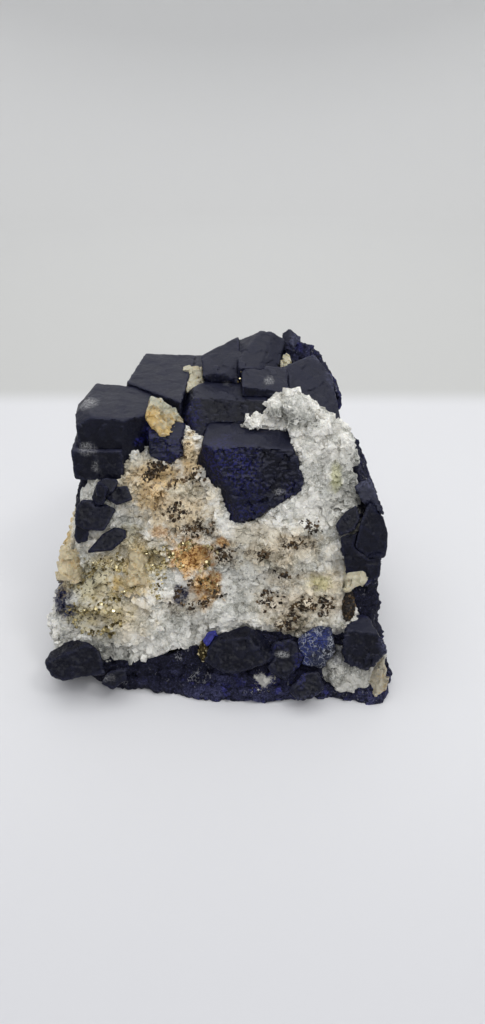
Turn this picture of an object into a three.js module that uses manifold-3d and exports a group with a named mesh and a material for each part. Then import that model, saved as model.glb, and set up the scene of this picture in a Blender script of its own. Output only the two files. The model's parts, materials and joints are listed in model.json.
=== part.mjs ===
// A lazurite specimen: blocky blue-black lazurite crystals, small lumps of honey calcite and
// patches of pyrite, grown in a block of white calcite that is backed by massive lazurite rock.
// Millimetres, +Z up, -Y is the display side. The origin is the centre of the base.
//
// Every crystal is described the way a lapidary writes a cutting chart. It has a centre, "at", and
// faces written [azimuth, elevation, distance]. Azimuth 0 faces the display side, 90 faces +X and
// 180 the back; elevation 90 faces up. The distance runs from the centre to the face, in mm.
import * as THREE from "three";
import { ConvexGeometry } from "three/addons/geometries/ConvexGeometry.js";
import { mergeVertices } from "three/addons/utils/BufferGeometryUtils.js";
import Module from "manifold-3d";

const wasm = await Module();
wasm.setup();

// ---------------------------------------------------------------- driving dimensions

const SEAM = 0.3; // open crack between two minerals that touch
const FOOT = 1.5; // height at which the underside is ground flat
const SLOPE = 27; // lean of the display side, in degrees from upright
const ROCK_DETAIL = 7; // subdivisions of the ball that each main rock body is shaped from
const SHOULDER_DETAIL = 4; // and of the one for the small rock shoulder
const EDGE_WEAR = 13; // higher is sharper edges between the faces of a rock body
const ROUGHNESS = 1.1; // height of the rock's lumps
const LUMP = 13; // their width

// ---------------------------------------------------------------- materials

const stone = (color, roughness) => new THREE.MeshStandardMaterial({ color, roughness, metalness: 0 });
const LAZURITE = stone(0x14172b, 0.55);
const RIND = stone(0x1d2150, 0.8);
const CALCITE = stone(0xd9d8d2, 0.5);
const HONEY = stone(0xd8c08a, 0.5);
const PYRITE = new THREE.MeshStandardMaterial({ color: 0x9a8650, roughness: 0.35, metalness: 0.9 });

// ---------------------------------------------------------------- the two rock bodies

// A swell is [x, y, z, width, height]: a round bulge of the surface near that place.
// The white block, whose front is the display slope.
const CALCITE_BODY = {
  at: [-2, 0, 45],
  faces: [
    [0, 27, 20], [0, 5, 40], [-90, 18, 49.5], [-90, 0, 61], [-50, 20, 48], [90, 4, 50.5],
    [50, 15, 50], [180, 0, 12], [0, 80, 36], [-90, 60, 42], [0, -90, 34], [0, -45, 45],
  ],
  swells: [
    [20, 3, 79, 8.5, 15], [34.5, -2, 77, 8.5, 6], [-24, -38, 12, 14, 6], [-50, -36, 14, 14, 5],
    [-58, -32, 24, 13, 3.5], [-34, -42, 10, 9, 5], [47, -28, 32, 9, 5], [43, -37, 17.5, 8, 10],
    [50, -13, 60, 6, 4.5],
  ],
};

// The dark blue rock around it: a foot under the white block, the right flank and the back.
const OUTER_ROCK = {
  at: [0, 2, 45],
  faces: [
    [0, 27, 20], [0, 0, 49], [90, 0, 56], [60, 45, 47], [125, 10, 60], [-125, 10, 57],
    [-90, 10, 51], [-50, 0, 62], [180, 5, 44], [0, 62, 30], [-90, 60, 45], [180, 50, 59],
    [152, 25, 50], [-155, -5, 52], [0, -90, 55], [-50, -65, 67], [180, -45, 58], [-90, -50, 62],
    [90, -45, 68],
  ],
  swells: [
    [52, -40, 5, 15, 13], [32, 48, 92, 12, 8], [-40, -40, 4, 14, 4], [12, -45, 0, 25, 12.5],
    [-36, 28, 66, 17, 8], [50, -47, 2, 12, 3.5], [60, -46, 2, 10, 11], [46, 2, 81, 7, 6],
  ],
};

// A shoulder of the same rock that stands up behind the right-hand crystals.
const SHOULDER_ROCK = {
  at: [34, 41, 82],
  faces: [
    [90, 28, 8.4], [0, 80, 19.2], [-90, 0, 17], [0, 15, 5], [180, 20, 7], [90, -40, 14],
    [0, -80, 20],
  ],
  swells: [],
};

// ---------------------------------------------------------------- lazurite crystals
// Each entry is one solid. Where crystals have grown through each other it has several charts.

const CRYSTALS = {
  main_crystal: [
    {
      at: [13, 3, 68],
      faces: [
        [5, 20, 16.5], [5, 85, 15], [35, 75, 16], [-95, 15, 20], [-40, 0, 20], [25, -40, 19.5],
        [90, 20, 15.5], [80, -25, 15.5], [45, -40, 17], [-25, -50, 21.8], [180, 0, 12], [0, -90, 14],
      ],
    },
  ],
  upper_left_crystal: [
    {
      at: [-38, 12, 77],
      faces: [
        [75, 85, 12], [0, 15, 17], [35, 10, 17.5], [80, 10, 16.5], [-80, 0, 11.5], [-60, 60, 15.5],
        [-95, 42, 13.8], [180, 0, 11.5], [-10, -80, 11],
      ],
    },
  ],
  side_crystal: [
    {
      at: [-39.5, 3, 74],
      faces: [
        [0, 20, 11], [10, 85, 5.5], [-90, -5, 9], [90, 0, 7.5], [-10, -80, 6.5], [180, 0, 8],
      ],
    },
  ],
  small_upper_crystal: [
    {
      at: [-17, 0, 77.8],
      faces: [
        [0, 30, 5.5], [20, 80, 5], [-85, 0, 6.5], [85, 0, 5], [55, -50, 6], [-45, -60, 5.5],
        [180, 0, 6],
      ],
    },
  ],
  top_left_crystal: [
    {
      at: [-20, 33, 84],
      faces: [
        [-5, 85, 6.6], [-35, 10, 15.5], [-100, 5, 12], [175, 5, 14], [85, 0, 9], [0, -90, 10],
      ],
    },
    {
      at: [-11, 40.5, 84],
      faces: [
        [0, 86, 6.3], [-90, 0, 4], [90, 0, 5.5], [0, 5, 4], [180, 5, 8], [0, -90, 10],
      ],
    },
  ],
  top_middle_crystal: [
    {
      at: [4, 17, 81],
      faces: [
        [10, 80, 9.5], [0, 45, 10.9], [-80, 35, 16], [-60, 10, 18], [-130, 45, 14.2], [80, 20, 15.5],
        [180, 0, 9], [0, -90, 4],
      ],
    },
  ],
  ridge_crystal: [
    {
      at: [14, 34, 92],
      faces: [
        [-82, 63, 9.4], [24, 65, 8.4], [78, -4, 7.8], [50, 49, 8.2], [10, 0, 11.8], [-90, 0, 7.2],
        [180, 5, 7], [0, -90, 14],
      ],
    },
    {
      at: [1, 30, 90],
      faces: [
        [-22, 67, 8.2], [30, 40, 10.1], [-87, -6, 6.7], [-132, 50, 9.5], [-5, 0, 10], [90, 0, 5.8],
        [180, 0, 10], [0, -90, 12],
      ],
    },
  ],
  low_plate_crystal: [
    {
      at: [14, 18, 88],
      faces: [
        [21, 70, 6.3], [-90, 0, 6], [90, 0, 10], [0, 10, 6.5], [180, 0, 6], [0, -90, 10],
      ],
    },
  ],
  right_shoulder_crystal: [
    {
      at: [32, 30, 80],
      faces: [
        [35, 60, 11.5], [-55, 0, 12.5], [-140, 5, 5], [125, 5, 7.5], [95, 5, 9.3], [0, 0, 18],
        [0, -90, 12],
      ],
    },
  ],
  peak_crystal: [
    {
      at: [26.8, 45, 95.6],
      faces: [
        [-35, 40, 2.5], [50, 45, 2.5], [0, 0, 3.5], [180, 5, 3], [90, -5, 3], [-90, 0, 3.2],
        [0, -90, 7],
      ],
    },
  ],
  cluster_crystals: [
    {
      at: [-37, -10.5, 67.5],
      faces: [
        [5, 50, 4.5], [180, 50, 1.5], [115, 5, 2.5], [85, -40, 1.5], [45, -65, 1.5],
        [-85, -10, 3.5], [-115, 35, 2.5], [180, -35, 4],
      ],
    },
    {
      at: [-40.5, -12, 65],
      faces: [
        [-35, 20, 3.5], [140, 35, 2.5], [100, -20, 1.5], [50, -60, 3], [-75, -20, 2], [-105, 20, 1],
        [180, -35, 4],
      ],
    },
    {
      at: [-33, -12.5, 64.5],
      faces: [
        [-5, 45, 4], [-165, 50, 2.5], [115, 5, 2.5], [45, -65, 1.5], [-50, -55, 2], [-80, -10, 4],
        [180, -35, 4],
      ],
    },
  ],
  left_plate_crystals: [
    {
      at: [-42, -15, 59],
      faces: [
        [0, 40, 4.5], [-115, 35, 5.5], [180, 50, 4], [150, 35, 3.5], [90, -35, 4.5],
        [-10, -65, 4.5], [-40, -50, 5.5], [-90, 5, 5.5], [180, -35, 4],
      ],
    },
    {
      at: [-46, -18.5, 53.5],
      faces: [
        [-15, 20, 3.5], [155, 40, 3.5], [105, -15, 1], [55, -60, 2], [-75, -20, 2.5], [-90, 5, 2],
        [180, -35, 4],
      ],
    },
  ],
  leaf_crystal: [
    {
      at: [-36.5, -19, 51.5],
      faces: [
        [5, 45, 4.5], [-115, 30, 2.5], [-135, 40, 2], [155, 40, 3.5], [110, 0, 4.5], [75, -50, 2],
        [10, -65, 3], [180, -35, 4],
      ],
    },
  ],
  right_inner_crystal: [
    {
      at: [44.5, -16, 57],
      faces: [
        [-20, 50, 4.5], [-125, 20, 2], [-140, 35, 2.5], [95, 5, 2.5], [75, -25, 2], [45, -55, 2.5],
        [-90, -30, 4], [180, -35, 4.5],
      ],
    },
  ],
  right_block_crystal: [
    {
      at: [53.5, -16.5, 51.5],
      faces: [
        [35, 40, 6.5], [0, 10, 7.5], [-115, 5, 4], [130, 40, 7], [100, 15, 3.5], [85, -5, 3.5],
        [45, -50, 7.5], [-75, -45, 6.5], [180, -35, 6],
      ],
    },
  ],
  right_lower_crystal: [
    {
      at: [49, -20.5, 44.5],
      faces: [
        [-5, 20, 5.5], [-165, 40, 7], [125, 35, 5.5], [85, -5, 6], [55, -40, 8], [-50, -55, 7],
        [-100, -15, 5], [180, -35, 5],
      ],
    },
  ],
  right_upper_crystal: [
    {
      at: [51.5, -9, 63.5],
      faces: [
        [15, 45, 5], [-140, 35, 3.5], [100, 15, 1.5], [-60, -55, 3], [-90, -35, 2], [180, -35, 5],
      ],
    },
  ],
  corner_crystal: [
    {
      at: [50, -33.5, 19],
      faces: [
        [0, 25, 7.5], [30, 80, 8], [-130, 20, 6], [170, 40, 7], [110, 20, 4.4], [55, -35, 7.8],
        [-40, -50, 8.5], [-95, -15, 6.5], [-110, 0, 5], [180, -35, 6],
      ],
    },
  ],
  bottom_crystal: [
    {
      at: [9, -34, 16],
      faces: [
        [-5, 35, 9], [-100, 80, 8.5], [60, 50, 9], [-110, 10, 10], [-160, 35, 5.5], [145, 30, 5],
        [120, 15, 6.5], [55, -40, 8], [30, -50, 6.5], [-5, -55, 7.5], [-45, -45, 10], [180, -35, 7],
      ],
    },
  ],
  blue_nub: [
    {
      at: [-2.5, -34.5, 20.5],
      faces: [
        [-20, 60, 3.5], [-115, 15, 1.5], [-165, 35, 1.5], [120, 15, 2], [70, -35, 1],
        [40, -50, 1.5], [-75, -25, 2], [180, -35, 3.5],
      ],
    },
  ],
  lower_middle_crystal: [
    {
      at: [23, -36, 13],
      faces: [
        [0, 40, 7], [-125, 15, 4], [-165, 35, 4.5], [145, 30, 4.5], [115, 15, 4.5], [75, -25, 4.5],
        [60, -35, 4.5], [-40, -50, 5.5], [-80, -25, 5.5], [180, -35, 6],
      ],
    },
  ],
  azure_crystal: [
    {
      at: [34, -35.5, 17.5],
      faces: [
        [0, 35, 5], [-150, 30, 4.6], [180, 40, 6], [100, 10, 5.6], [65, -30, 5.2], [-15, -55, 6],
        [-100, -10, 5.3], [180, -35, 4],
      ],
    },
  ],
  bottom_edge_crystal: [
    {
      at: [31, -43.2, 7],
      faces: [
        [0, 45, 6], [-130, 15, 2.5], [-175, 35, 3], [110, 10, 3.5], [55, -40, 3], [5, -55, 3.5],
        [-65, -35, 5.5], [180, -35, 5],
      ],
    },
  ],
  left_foot_crystal: [
    {
      at: [-49.5, -34, 11.5],
      faces: [
        [0, 35, 11], [-100, 70, 8], [-100, 15, 8.5], [-135, 35, 5.5], [-155, 40, 5], [125, 10, 6],
        [115, -5, 5], [145, 25, 3.5], [15, -55, 5.5], [-30, -45, 8], [-65, -20, 9.5], [180, -35, 9],
      ],
    },
  ],
  small_foot_crystal: [
    {
      at: [-36, -42, 9],
      faces: [
        [0, 40, 4.5], [-110, 20, 2.5], [-165, 35, 1.5], [100, -15, 3], [60, -45, 2], [-35, -45, 3],
        [180, -35, 4],
      ],
    },
  ],
  back_left_crystal: [
    {
      at: [-22, 40, 44],
      faces: [
        [-170, 20, 11], [150, -10, 11.5], [170, 70, 12], [-100, 10, 10], [95, 0, 11],
        [180, -60, 12], [0, 0, 8], [0, -90, 13],
      ],
    },
  ],
  back_right_crystal: [
    {
      at: [22, 42, 62],
      faces: [
        [175, 15, 8], [140, 0, 9.5], [180, 70, 10], [-110, 10, 9], [90, 0, 10], [-170, -50, 10],
        [0, 0, 8], [0, -90, 12],
      ],
    },
  ],
  back_low_crystal: [
    {
      at: [12, 42, 22],
      faces: [
        [180, 10, 7.5], [-145, 15, 8.5], [170, 65, 8], [-100, 0, 9], [100, 0, 8], [180, -55, 8],
        [0, 0, 8], [0, -90, 9],
      ],
    },
  ],
  left_flank_crystal: [
    {
      at: [-48, 18, 36],
      faces: [
        [-90, 10, 8], [-55, 5, 10], [-130, 20, 10], [-90, 70, 9], [0, 0, 10], [180, 0, 10],
        [-90, -50, 9], [90, 0, 6],
      ],
    },
  ],
  right_flank_crystal: [
    {
      at: [54, 12, 34],
      faces: [
        [90, 5, 7], [60, 20, 8.5], [120, 10, 8.5], [90, 65, 9], [0, -10, 10], [180, 0, 10],
        [90, -55, 8.5], [-90, 0, 6],
      ],
    },
  ],
};

// ---------------------------------------------------------------- lumps of honey calcite

const HONEY_LUMPS = {
  honey_wedge: {
    at: [-17.5, 3, 84.5],
    faces: [
      [-10, 50, 4.2], [70, 48, 1], [90, 10, 4.8], [-90, 10, 6.8], [-60, -30, 5], [160, 40, 7],
      [0, -50, 5.5], [0, -90, 7],
    ],
  },
  cream_wedge: {
    at: [-9.5, 28, 88],
    faces: [
      [-10, 78, 2.3], [-90, 0, 4.2], [90, 0, 4], [180, 0, 7], [-50, 10, 6.5], [35, 10, 6.5],
      [0, -90, 8],
    ],
  },
  cream_fleck: {
    at: [23.4, 31.5, 93.5],
    faces: [
      [-30, 60, 2.2], [50, 50, 2], [-90, 0, 2.2], [90, 0, 2.2], [180, 0, 2.5], [0, 10, 2.5],
      [0, -90, 5],
    ],
  },
  cream_nugget: {
    at: [46.5, -27, 40.5],
    faces: [
      [-10, 20, 3], [0, 75, 3], [-90, 5, 3.2], [85, 0, 3], [30, -50, 2.5], [180, -30, 6],
    ],
  },
  amber_corner: {
    at: [55, -42.5, 6.5],
    faces: [
      [20, 30, 2.5], [-50, 40, 2.2], [95, 0, 2.2], [-80, -30, 2], [30, -50, 2.5], [180, -30, 5],
    ],
  },
  tan_shoulder: {
    at: [-51.2, -22.5, 43.5],
    faces: [
      [-25, 25, 2.6], [-85, 10, 3], [60, 20, 1.8], [150, 45, 5], [-20, -50, 5.5], [180, -30, 5],
    ],
  },
  amber_column: {
    at: [-27.5, -22, 42],
    faces: [
      [-30, 30, 3], [40, 25, 2.5], [-100, 0, 3], [80, 0, 3], [170, 50, 6], [0, -60, 6],
      [180, -30, 5],
    ],
  },
};

// The white calcite that shows again at the right-hand corner of the foot.
const CORNER_CALCITE = {
  at: [46, -38, 8],
  faces: [
    [8, 30, 4.6], [-90, 0, 10], [-50, 10, 8.5], [60, 15, 10.8], [90, 0, 11.2], [0, 80, 9],
    [0, -70, 4], [180, 0, 4],
  ],
};

// The room kept open over the flat top of the main crystal and in front of the one behind it,
// where no calcite has grown.
const OPEN_ROOM = [
  {
    at: [6, -8, 86],
    faces: [[0, 0, 12], [180, 5, 8.8], [90, 0, 19], [-90, 0, 20], [0, 90, 8], [0, -90, 6]],
  },
  {
    at: [6, 2, 92],
    faces: [[0, 0, 15], [180, 0, 12], [90, 10, 11.5], [-90, 0, 20], [0, 90, 8], [0, -90, 7.3]],
  },
];

// ---------------------------------------------------------------- patches of pyrite
// Thin lenses that lie in the display slope: centre, then width, height and thickness, then turn.

const PYRITE_PATCHES = {
  pyrite_seam: { at: [-15, -8, 71], size: [20, 6, 4], turn: 25 },
  pyrite_upper_left: { at: [-39, -26, 37], size: [17, 10, 4], turn: 20 },
  pyrite_lower_left: { at: [-41, -32, 26], size: [18, 6, 4], turn: 12 },
  pyrite_spot: { at: [-22, -21.5, 45.5], size: [8, 6, 3.5], turn: 0 },
  pyrite_rust: { at: [-8, -22, 46], size: [12, 8, 4], turn: 20 },
  pyrite_middle: { at: [-8, -28, 34.5], size: [13, 6, 4], turn: 10 },
  pyrite_strip: { at: [44.5, -30, 31], size: [4.5, 12, 4], turn: 0 },
  pyrite_tuft: { at: [-4.5, -37, 17.5], size: [5, 9, 4], turn: -10 },
};

// ---------------------------------------------------------------- shaping tools

// The unit vector that an azimuth and an elevation, in degrees, point along.
function towards(azimuth, elevation) {
  const a = THREE.MathUtils.degToRad(azimuth);
  const e = THREE.MathUtils.degToRad(elevation);
  return new THREE.Vector3(Math.sin(a) * Math.cos(e), -Math.cos(a) * Math.cos(e), Math.sin(e));
}

// The corners of the convex solid that the faces enclose, each face moved out by grow.
function cornersOf({ at, faces }, grow) {
  const centre = new THREE.Vector3(...at);
  const planes = faces.map(([azimuth, elevation, distance]) => ({
    normal: towards(azimuth, elevation),
    distance: distance + grow,
  }));
  const corners = [];
  for (let i = 0; i < planes.length; i++)
    for (let j = i + 1; j < planes.length; j++)
      for (let k = j + 1; k < planes.length; k++) {
        const [a, b, c] = [planes[i], planes[j], planes[k]];
        const bc = new THREE.Vector3().crossVectors(b.normal, c.normal);
        const ca = new THREE.Vector3().crossVectors(c.normal, a.normal);
        const ab = new THREE.Vector3().crossVectors(a.normal, b.normal);
        const volume = a.normal.dot(bc);
        if (Math.abs(volume) < 1e-3) continue;
        const corner = new THREE.Vector3()
          .addScaledVector(bc, a.distance)
          .addScaledVector(ca, b.distance)
          .addScaledVector(ab, c.distance)
          .divideScalar(volume);
        const inside = planes.every((p) => p.normal.dot(corner) < p.distance + 1e-6);
        if (inside) corners.push(corner.add(centre));
      }
  return corners;
}

// Smooth noise from -1 to 1 that repeats the same way each time.
function noise(x, y, z, seed) {
  const cell = [x, y, z].map(Math.floor);
  const share = [x, y, z].map((v, i) => v - cell[i]);
  const smooth = share.map((t) => t * t * (3 - 2 * t));
  let sum = 0;
  for (let n = 0; n < 8; n++) {
    const step = [n & 1, (n >> 1) & 1, n >> 2];
    const [i, j, k] = cell.map((v, axis) => v + step[axis]);
    const hash = Math.sin(i * 127.1 + j * 311.7 + k * 74.7 + seed * 53.3) * 43758.5453;
    const weight = step.reduce((w, s, axis) => w * (s ? smooth[axis] : 1 - smooth[axis]), 1);
    sum += weight * (hash - Math.floor(hash));
  }
  return 2 * sum - 1;
}

// A broken-rock body: a ball whose points are pushed out to the faces, with worn edges and lumps.
function rockBody({ at, faces, swells }, seed, grow = 0, detail = ROCK_DETAIL) {
  const centre = new THREE.Vector3(...at);
  const planes = faces.map(([azimuth, elevation, distance]) => [towards(azimuth, elevation), distance]);
  const ball = new THREE.IcosahedronGeometry(1, detail);
  const spot = new THREE.Vector3();
  const points = ball.getAttribute("position");
  for (let i = 0; i < points.count; i++) {
    const out = spot.fromBufferAttribute(points, i).normalize().clone();
    let closeness = 0;
    for (const [normal, distance] of planes)
      closeness += Math.max(0, normal.dot(out) / distance) ** EDGE_WEAR;
    let radius = closeness ** (-1 / EDGE_WEAR);
    const place = out.clone().multiplyScalar(radius).add(centre);
    radius += ROUGHNESS * noise(place.x / LUMP, place.y / LUMP, place.z / LUMP, seed);
    for (const [x, y, z, width, height] of swells)
      radius += height * Math.exp(-(place.distanceTo(new THREE.Vector3(x, y, z)) ** 2) / width ** 2);
    spot.copy(out).multiplyScalar(radius + grow).add(centre);
    points.setXYZ(i, spot.x, spot.y, spot.z);
  }
  return ball;
}

// A lens of grains lying in the display slope.
function lens({ at, size, turn }, grow) {
  const shape = new THREE.IcosahedronGeometry(1, 1);
  const [width, height, thickness] = size.map((s) => s / 2 + grow);
  shape.scale(width, thickness, height);
  shape.rotateY(THREE.MathUtils.degToRad(-turn));
  shape.rotateX(THREE.MathUtils.degToRad(-SLOPE));
  return shape.translate(...at);
}

// A three.js geometry as a manifold-3d solid.
function solid(geometry) {
  const bare = geometry.index ? geometry.toNonIndexed() : geometry.clone();
  bare.deleteAttribute("normal");
  bare.deleteAttribute("uv");
  const merged = mergeVertices(bare, 1e-4);
  return new wasm.Manifold(
    new wasm.Mesh({
      numProp: 3,
      vertProperties: merged.getAttribute("position").array,
      triVerts: new Uint32Array(merged.index.array),
    }),
  );
}

// The solid of one or several cutting charts, grown together.
function crystal(charts, grow) {
  return charts
    .map((chart) => solid(new ConvexGeometry(cornersOf(chart, grow))))
    .reduce((all, next) => all.add(next));
}

// A manifold-3d solid as a named three.js mesh. Only its largest body is kept.
function mesh(name, made, material) {
  const body = made.decompose().sort((a, b) => b.volume() - a.volume())[0];
  const { numProp, vertProperties, triVerts } = body.getMesh();
  const positions = new Float32Array((vertProperties.length / numProp) * 3);
  for (let i = 0; i < positions.length / 3; i++)
    positions.set(vertProperties.subarray(i * numProp, i * numProp + 3), i * 3);
  const geometry = new THREE.BufferGeometry();
  geometry.setAttribute("position", new THREE.BufferAttribute(positions, 3));
  geometry.setIndex(new THREE.BufferAttribute(triVerts, 1));
  const piece = new THREE.Mesh(geometry, material);
  piece.name = name;
  return piece;
}

// ---------------------------------------------------------------- the specimen

const specimen = new THREE.Group();
let calcite = solid(rockBody(CALCITE_BODY, 1));
let rind = solid(rockBody(OUTER_ROCK, 2))
  .add(solid(rockBody(SHOULDER_ROCK, 3, 0, SHOULDER_DETAIL)))
  .subtract(solid(rockBody(CALCITE_BODY, 1, SEAM)));
// The underside is cut flat so that the specimen rests on it.
const ground = solid(new THREE.BoxGeometry(200, 200, 40).translate(0, 0, FOOT - 20));
let taken = null; // the room that the pieces placed so far take up, each grown by the seam

// Sets a piece into the rock: it gives way to earlier pieces, and the rock gives way to it.
function place(name, shape, pocket, material) {
  const room = taken ? taken.add(ground) : ground;
  specimen.add(mesh(name, shape.subtract(room), material));
  calcite = calcite.subtract(pocket);
  rind = rind.subtract(pocket);
  taken = taken ? taken.add(pocket) : pocket;
}

for (const [name, charts] of Object.entries(CRYSTALS))
  place(name, crystal(charts, 0), crystal(charts, SEAM), LAZURITE);
for (const [name, chart] of Object.entries(HONEY_LUMPS))
  place(name, crystal([chart], 0), crystal([chart], SEAM), HONEY);
place("corner_calcite", crystal([CORNER_CALCITE], 0), crystal([CORNER_CALCITE], SEAM), CALCITE);
for (const [name, patch] of Object.entries(PYRITE_PATCHES))
  place(name, solid(lens(patch, 0)), solid(lens(patch, SEAM)), PYRITE);

calcite = calcite.subtract(ground).subtract(crystal(OPEN_ROOM, 0));
specimen.add(mesh("calcite_matrix", calcite, CALCITE));
specimen.add(mesh("lazurite_rind", rind.subtract(ground), RIND));

// The middle of the base becomes the origin.
const extent = new THREE.Box3().setFromObject(specimen);
const middle = extent.getCenter(new THREE.Vector3());
for (const piece of specimen.children)
  piece.geometry.translate(-middle.x, -middle.y, -extent.min.z);

export default specimen;
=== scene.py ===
# %% [markdown]
# # A lazurite specimen
#
# The specimen is a broken block of rock. Blue-black lazurite crystals, some as big as a walnut,
# sit in a bed of sugary white calcite. Small golden grains of pyrite and warm honey-coloured
# patches lie in the calcite, and massive dark blue rock wraps the underside and the back.
#
# The solids that the block is built from come in first. They fix every size and every place.
# The cells after that give each mineral its broken, grown or powdery surface.

import json
from math import pi, radians

import bpy
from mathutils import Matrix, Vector
from mathutils.bvhtree import BVHTree

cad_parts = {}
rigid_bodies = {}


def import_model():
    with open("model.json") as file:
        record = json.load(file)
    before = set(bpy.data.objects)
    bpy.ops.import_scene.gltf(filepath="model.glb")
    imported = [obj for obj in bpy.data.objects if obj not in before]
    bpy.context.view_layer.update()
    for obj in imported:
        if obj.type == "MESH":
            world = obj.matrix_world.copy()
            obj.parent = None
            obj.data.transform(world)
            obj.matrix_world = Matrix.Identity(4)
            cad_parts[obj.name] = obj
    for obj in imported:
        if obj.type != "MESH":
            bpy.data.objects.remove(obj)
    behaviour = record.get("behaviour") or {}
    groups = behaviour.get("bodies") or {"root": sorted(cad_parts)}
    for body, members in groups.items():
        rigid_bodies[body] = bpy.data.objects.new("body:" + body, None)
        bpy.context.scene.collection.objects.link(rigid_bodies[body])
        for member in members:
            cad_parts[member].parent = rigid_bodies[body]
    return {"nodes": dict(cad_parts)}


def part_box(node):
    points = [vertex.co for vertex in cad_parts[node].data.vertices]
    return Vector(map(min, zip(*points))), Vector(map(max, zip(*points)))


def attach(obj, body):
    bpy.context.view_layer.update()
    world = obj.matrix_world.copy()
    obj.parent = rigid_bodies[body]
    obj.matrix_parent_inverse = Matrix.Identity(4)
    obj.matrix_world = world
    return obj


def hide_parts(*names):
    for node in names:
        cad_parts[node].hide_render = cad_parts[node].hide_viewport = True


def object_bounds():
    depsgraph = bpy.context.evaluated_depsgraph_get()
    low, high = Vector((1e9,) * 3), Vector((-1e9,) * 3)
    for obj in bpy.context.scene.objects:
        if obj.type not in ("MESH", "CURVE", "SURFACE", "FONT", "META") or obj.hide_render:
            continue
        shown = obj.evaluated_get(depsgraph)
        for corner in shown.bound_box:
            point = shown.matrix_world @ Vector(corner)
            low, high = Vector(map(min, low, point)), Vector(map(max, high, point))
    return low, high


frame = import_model()
cad_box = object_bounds()
NODES = frame["nodes"]
MM = 0.001
print(len(NODES), "solids, size in mm:", [round(side / MM, 1) for side in cad_box[1] - cad_box[0]])


# %% [markdown]
# ## Camera
#
# A specimen this size is shown from about 30 centimetres away, looking down on it, with the wide
# lens of a phone. A long lens would flatten it. The wide one makes the near foot of the block
# look larger than its far top, which is part of how the piece reads, so the lens is kept wide
# and the camera is kept close.

# %% Camera
CAMERA_AT = Vector((7.47, -235.60, 200.2)) * MM
CAMERA_DIPS = radians(33)

lens = bpy.data.cameras.new("camera")
lens.sensor_width = 36
lens.lens = 27.07
lens.clip_start = 10 * MM
camera = bpy.data.objects.new("camera", lens)
bpy.context.collection.objects.link(camera)
camera.location = CAMERA_AT
camera.rotation_euler = (pi / 2 - CAMERA_DIPS, 0, 0)
bpy.context.scene.camera = camera
print("camera stands", round(CAMERA_AT.length / MM), "mm from the middle of the base")


# %% [markdown]
# ## Working helpers
#
# An operator works on whatever is selected, and the imported solids arrive selected. So the first
# helper clears the selection and picks one object. The second makes a working copy of a solid:
# the solid itself is never changed. Its mesh is loose triangles, so the copy is welded together,
# and its flat faces are turned back into whole polygons.

# %% Helpers: picking, copying and applying
def pick(thing):
    bpy.ops.object.select_all(action="DESELECT")
    thing.select_set(True)
    bpy.context.view_layer.objects.active = thing


def weld(piece):
    pick(piece)
    bpy.ops.object.mode_set(mode="EDIT")
    bpy.ops.mesh.select_all(action="SELECT")
    bpy.ops.mesh.remove_doubles(threshold=0.001 * MM)
    bpy.ops.mesh.dissolve_limited(angle_limit=radians(0.5))
    bpy.ops.object.mode_set(mode="OBJECT")


def copy_of(node, name):
    piece = bpy.data.objects.new(name, NODES[node].data.copy())
    piece.data.materials.clear()
    bpy.context.collection.objects.link(piece)
    weld(piece)
    return piece


def apply_all(piece):
    pick(piece)
    for modifier in list(piece.modifiers):
        bpy.ops.object.modifier_apply(modifier=modifier.name)


def middle_of(node):
    low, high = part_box(node)
    return (low + high) / 2


def shifted(node, x=0.0, y=0.0, z=0.0):
    """A place that many millimetres from the middle of a solid."""
    return middle_of(node) + Vector((x, y, z)) * MM


def triangles(piece):
    return sum(len(face.vertices) - 2 for face in piece.data.polygons)


# %% [markdown]
# A solid's long triangles can't carry fine detail, so every piece gets an even mesh of small
# squares. Much of it lies hidden against a neighbour, where detail is wasted. There a short ray
# along the face's normal meets another solid at once, and the mesh is thinned.

# %% Helpers: even mesh, thinned where it is covered
def search_tree(things):
    """A tree for quick searches over the surfaces of several objects."""
    corners, faces = [], []
    for thing in things:
        start = len(corners)
        corners += [point.co for point in thing.data.vertices]
        faces += [[start + index for index in face.vertices] for face in thing.data.polygons]
    return BVHTree.FromPolygons(corners, faces)


def cover_test(node, reach):
    """A test for places on a solid that a neighbour covers closer than the reach."""
    tree = search_tree([solid for name, solid in NODES.items() if name != node])
    return lambda place, normal: tree.ray_cast(place, normal, reach)[0] is not None


def remesh(piece, voxel):
    modifier = piece.modifiers.new("even mesh", "REMESH")
    modifier.mode = "VOXEL"
    modifier.voxel_size = voxel
    apply_all(piece)


def thin_out(piece, hidden, share=0.1):
    pick(piece)
    bpy.ops.object.mode_set(mode="EDIT")
    bpy.ops.mesh.select_all(action="DESELECT")
    bpy.ops.object.mode_set(mode="OBJECT")
    for face in piece.data.polygons:
        face.select = hidden(face.center, face.normal)
    bpy.ops.object.mode_set(mode="EDIT")
    bpy.ops.mesh.decimate(ratio=share)
    bpy.ops.object.mode_set(mode="OBJECT")


def mark(piece, layer, rule):
    """Puts the points that pass a rule on their place and normal into a vertex group."""
    group = piece.vertex_groups.new(name=layer)
    chosen = [point.index for point in piece.data.vertices if rule(point.co, point.normal)]
    group.add(chosen, 1.0, "REPLACE")


COVERED_WITHIN = 0.9 * MM
TABLE_GAP = 0.2 * MM


def fine_copy(node, name, voxel):
    """A copy of a solid with an even mesh, and its open side marked."""
    piece = copy_of(node, name)
    remesh(piece, voxel * MM)
    covered = cover_test(node, COVERED_WITHIN)
    resting = cad_box[0].z + TABLE_GAP
    thin_out(piece, lambda place, normal: place.z < resting or covered(place, normal))
    mark(piece, "open", lambda place, normal: not covered(place, normal))
    return piece


# %% [markdown]
# Materials, surface wear and scattered grains are all built from nodes. A node tree in code is
# easiest to read when adding a node, setting it and wiring it is a single call.

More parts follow.
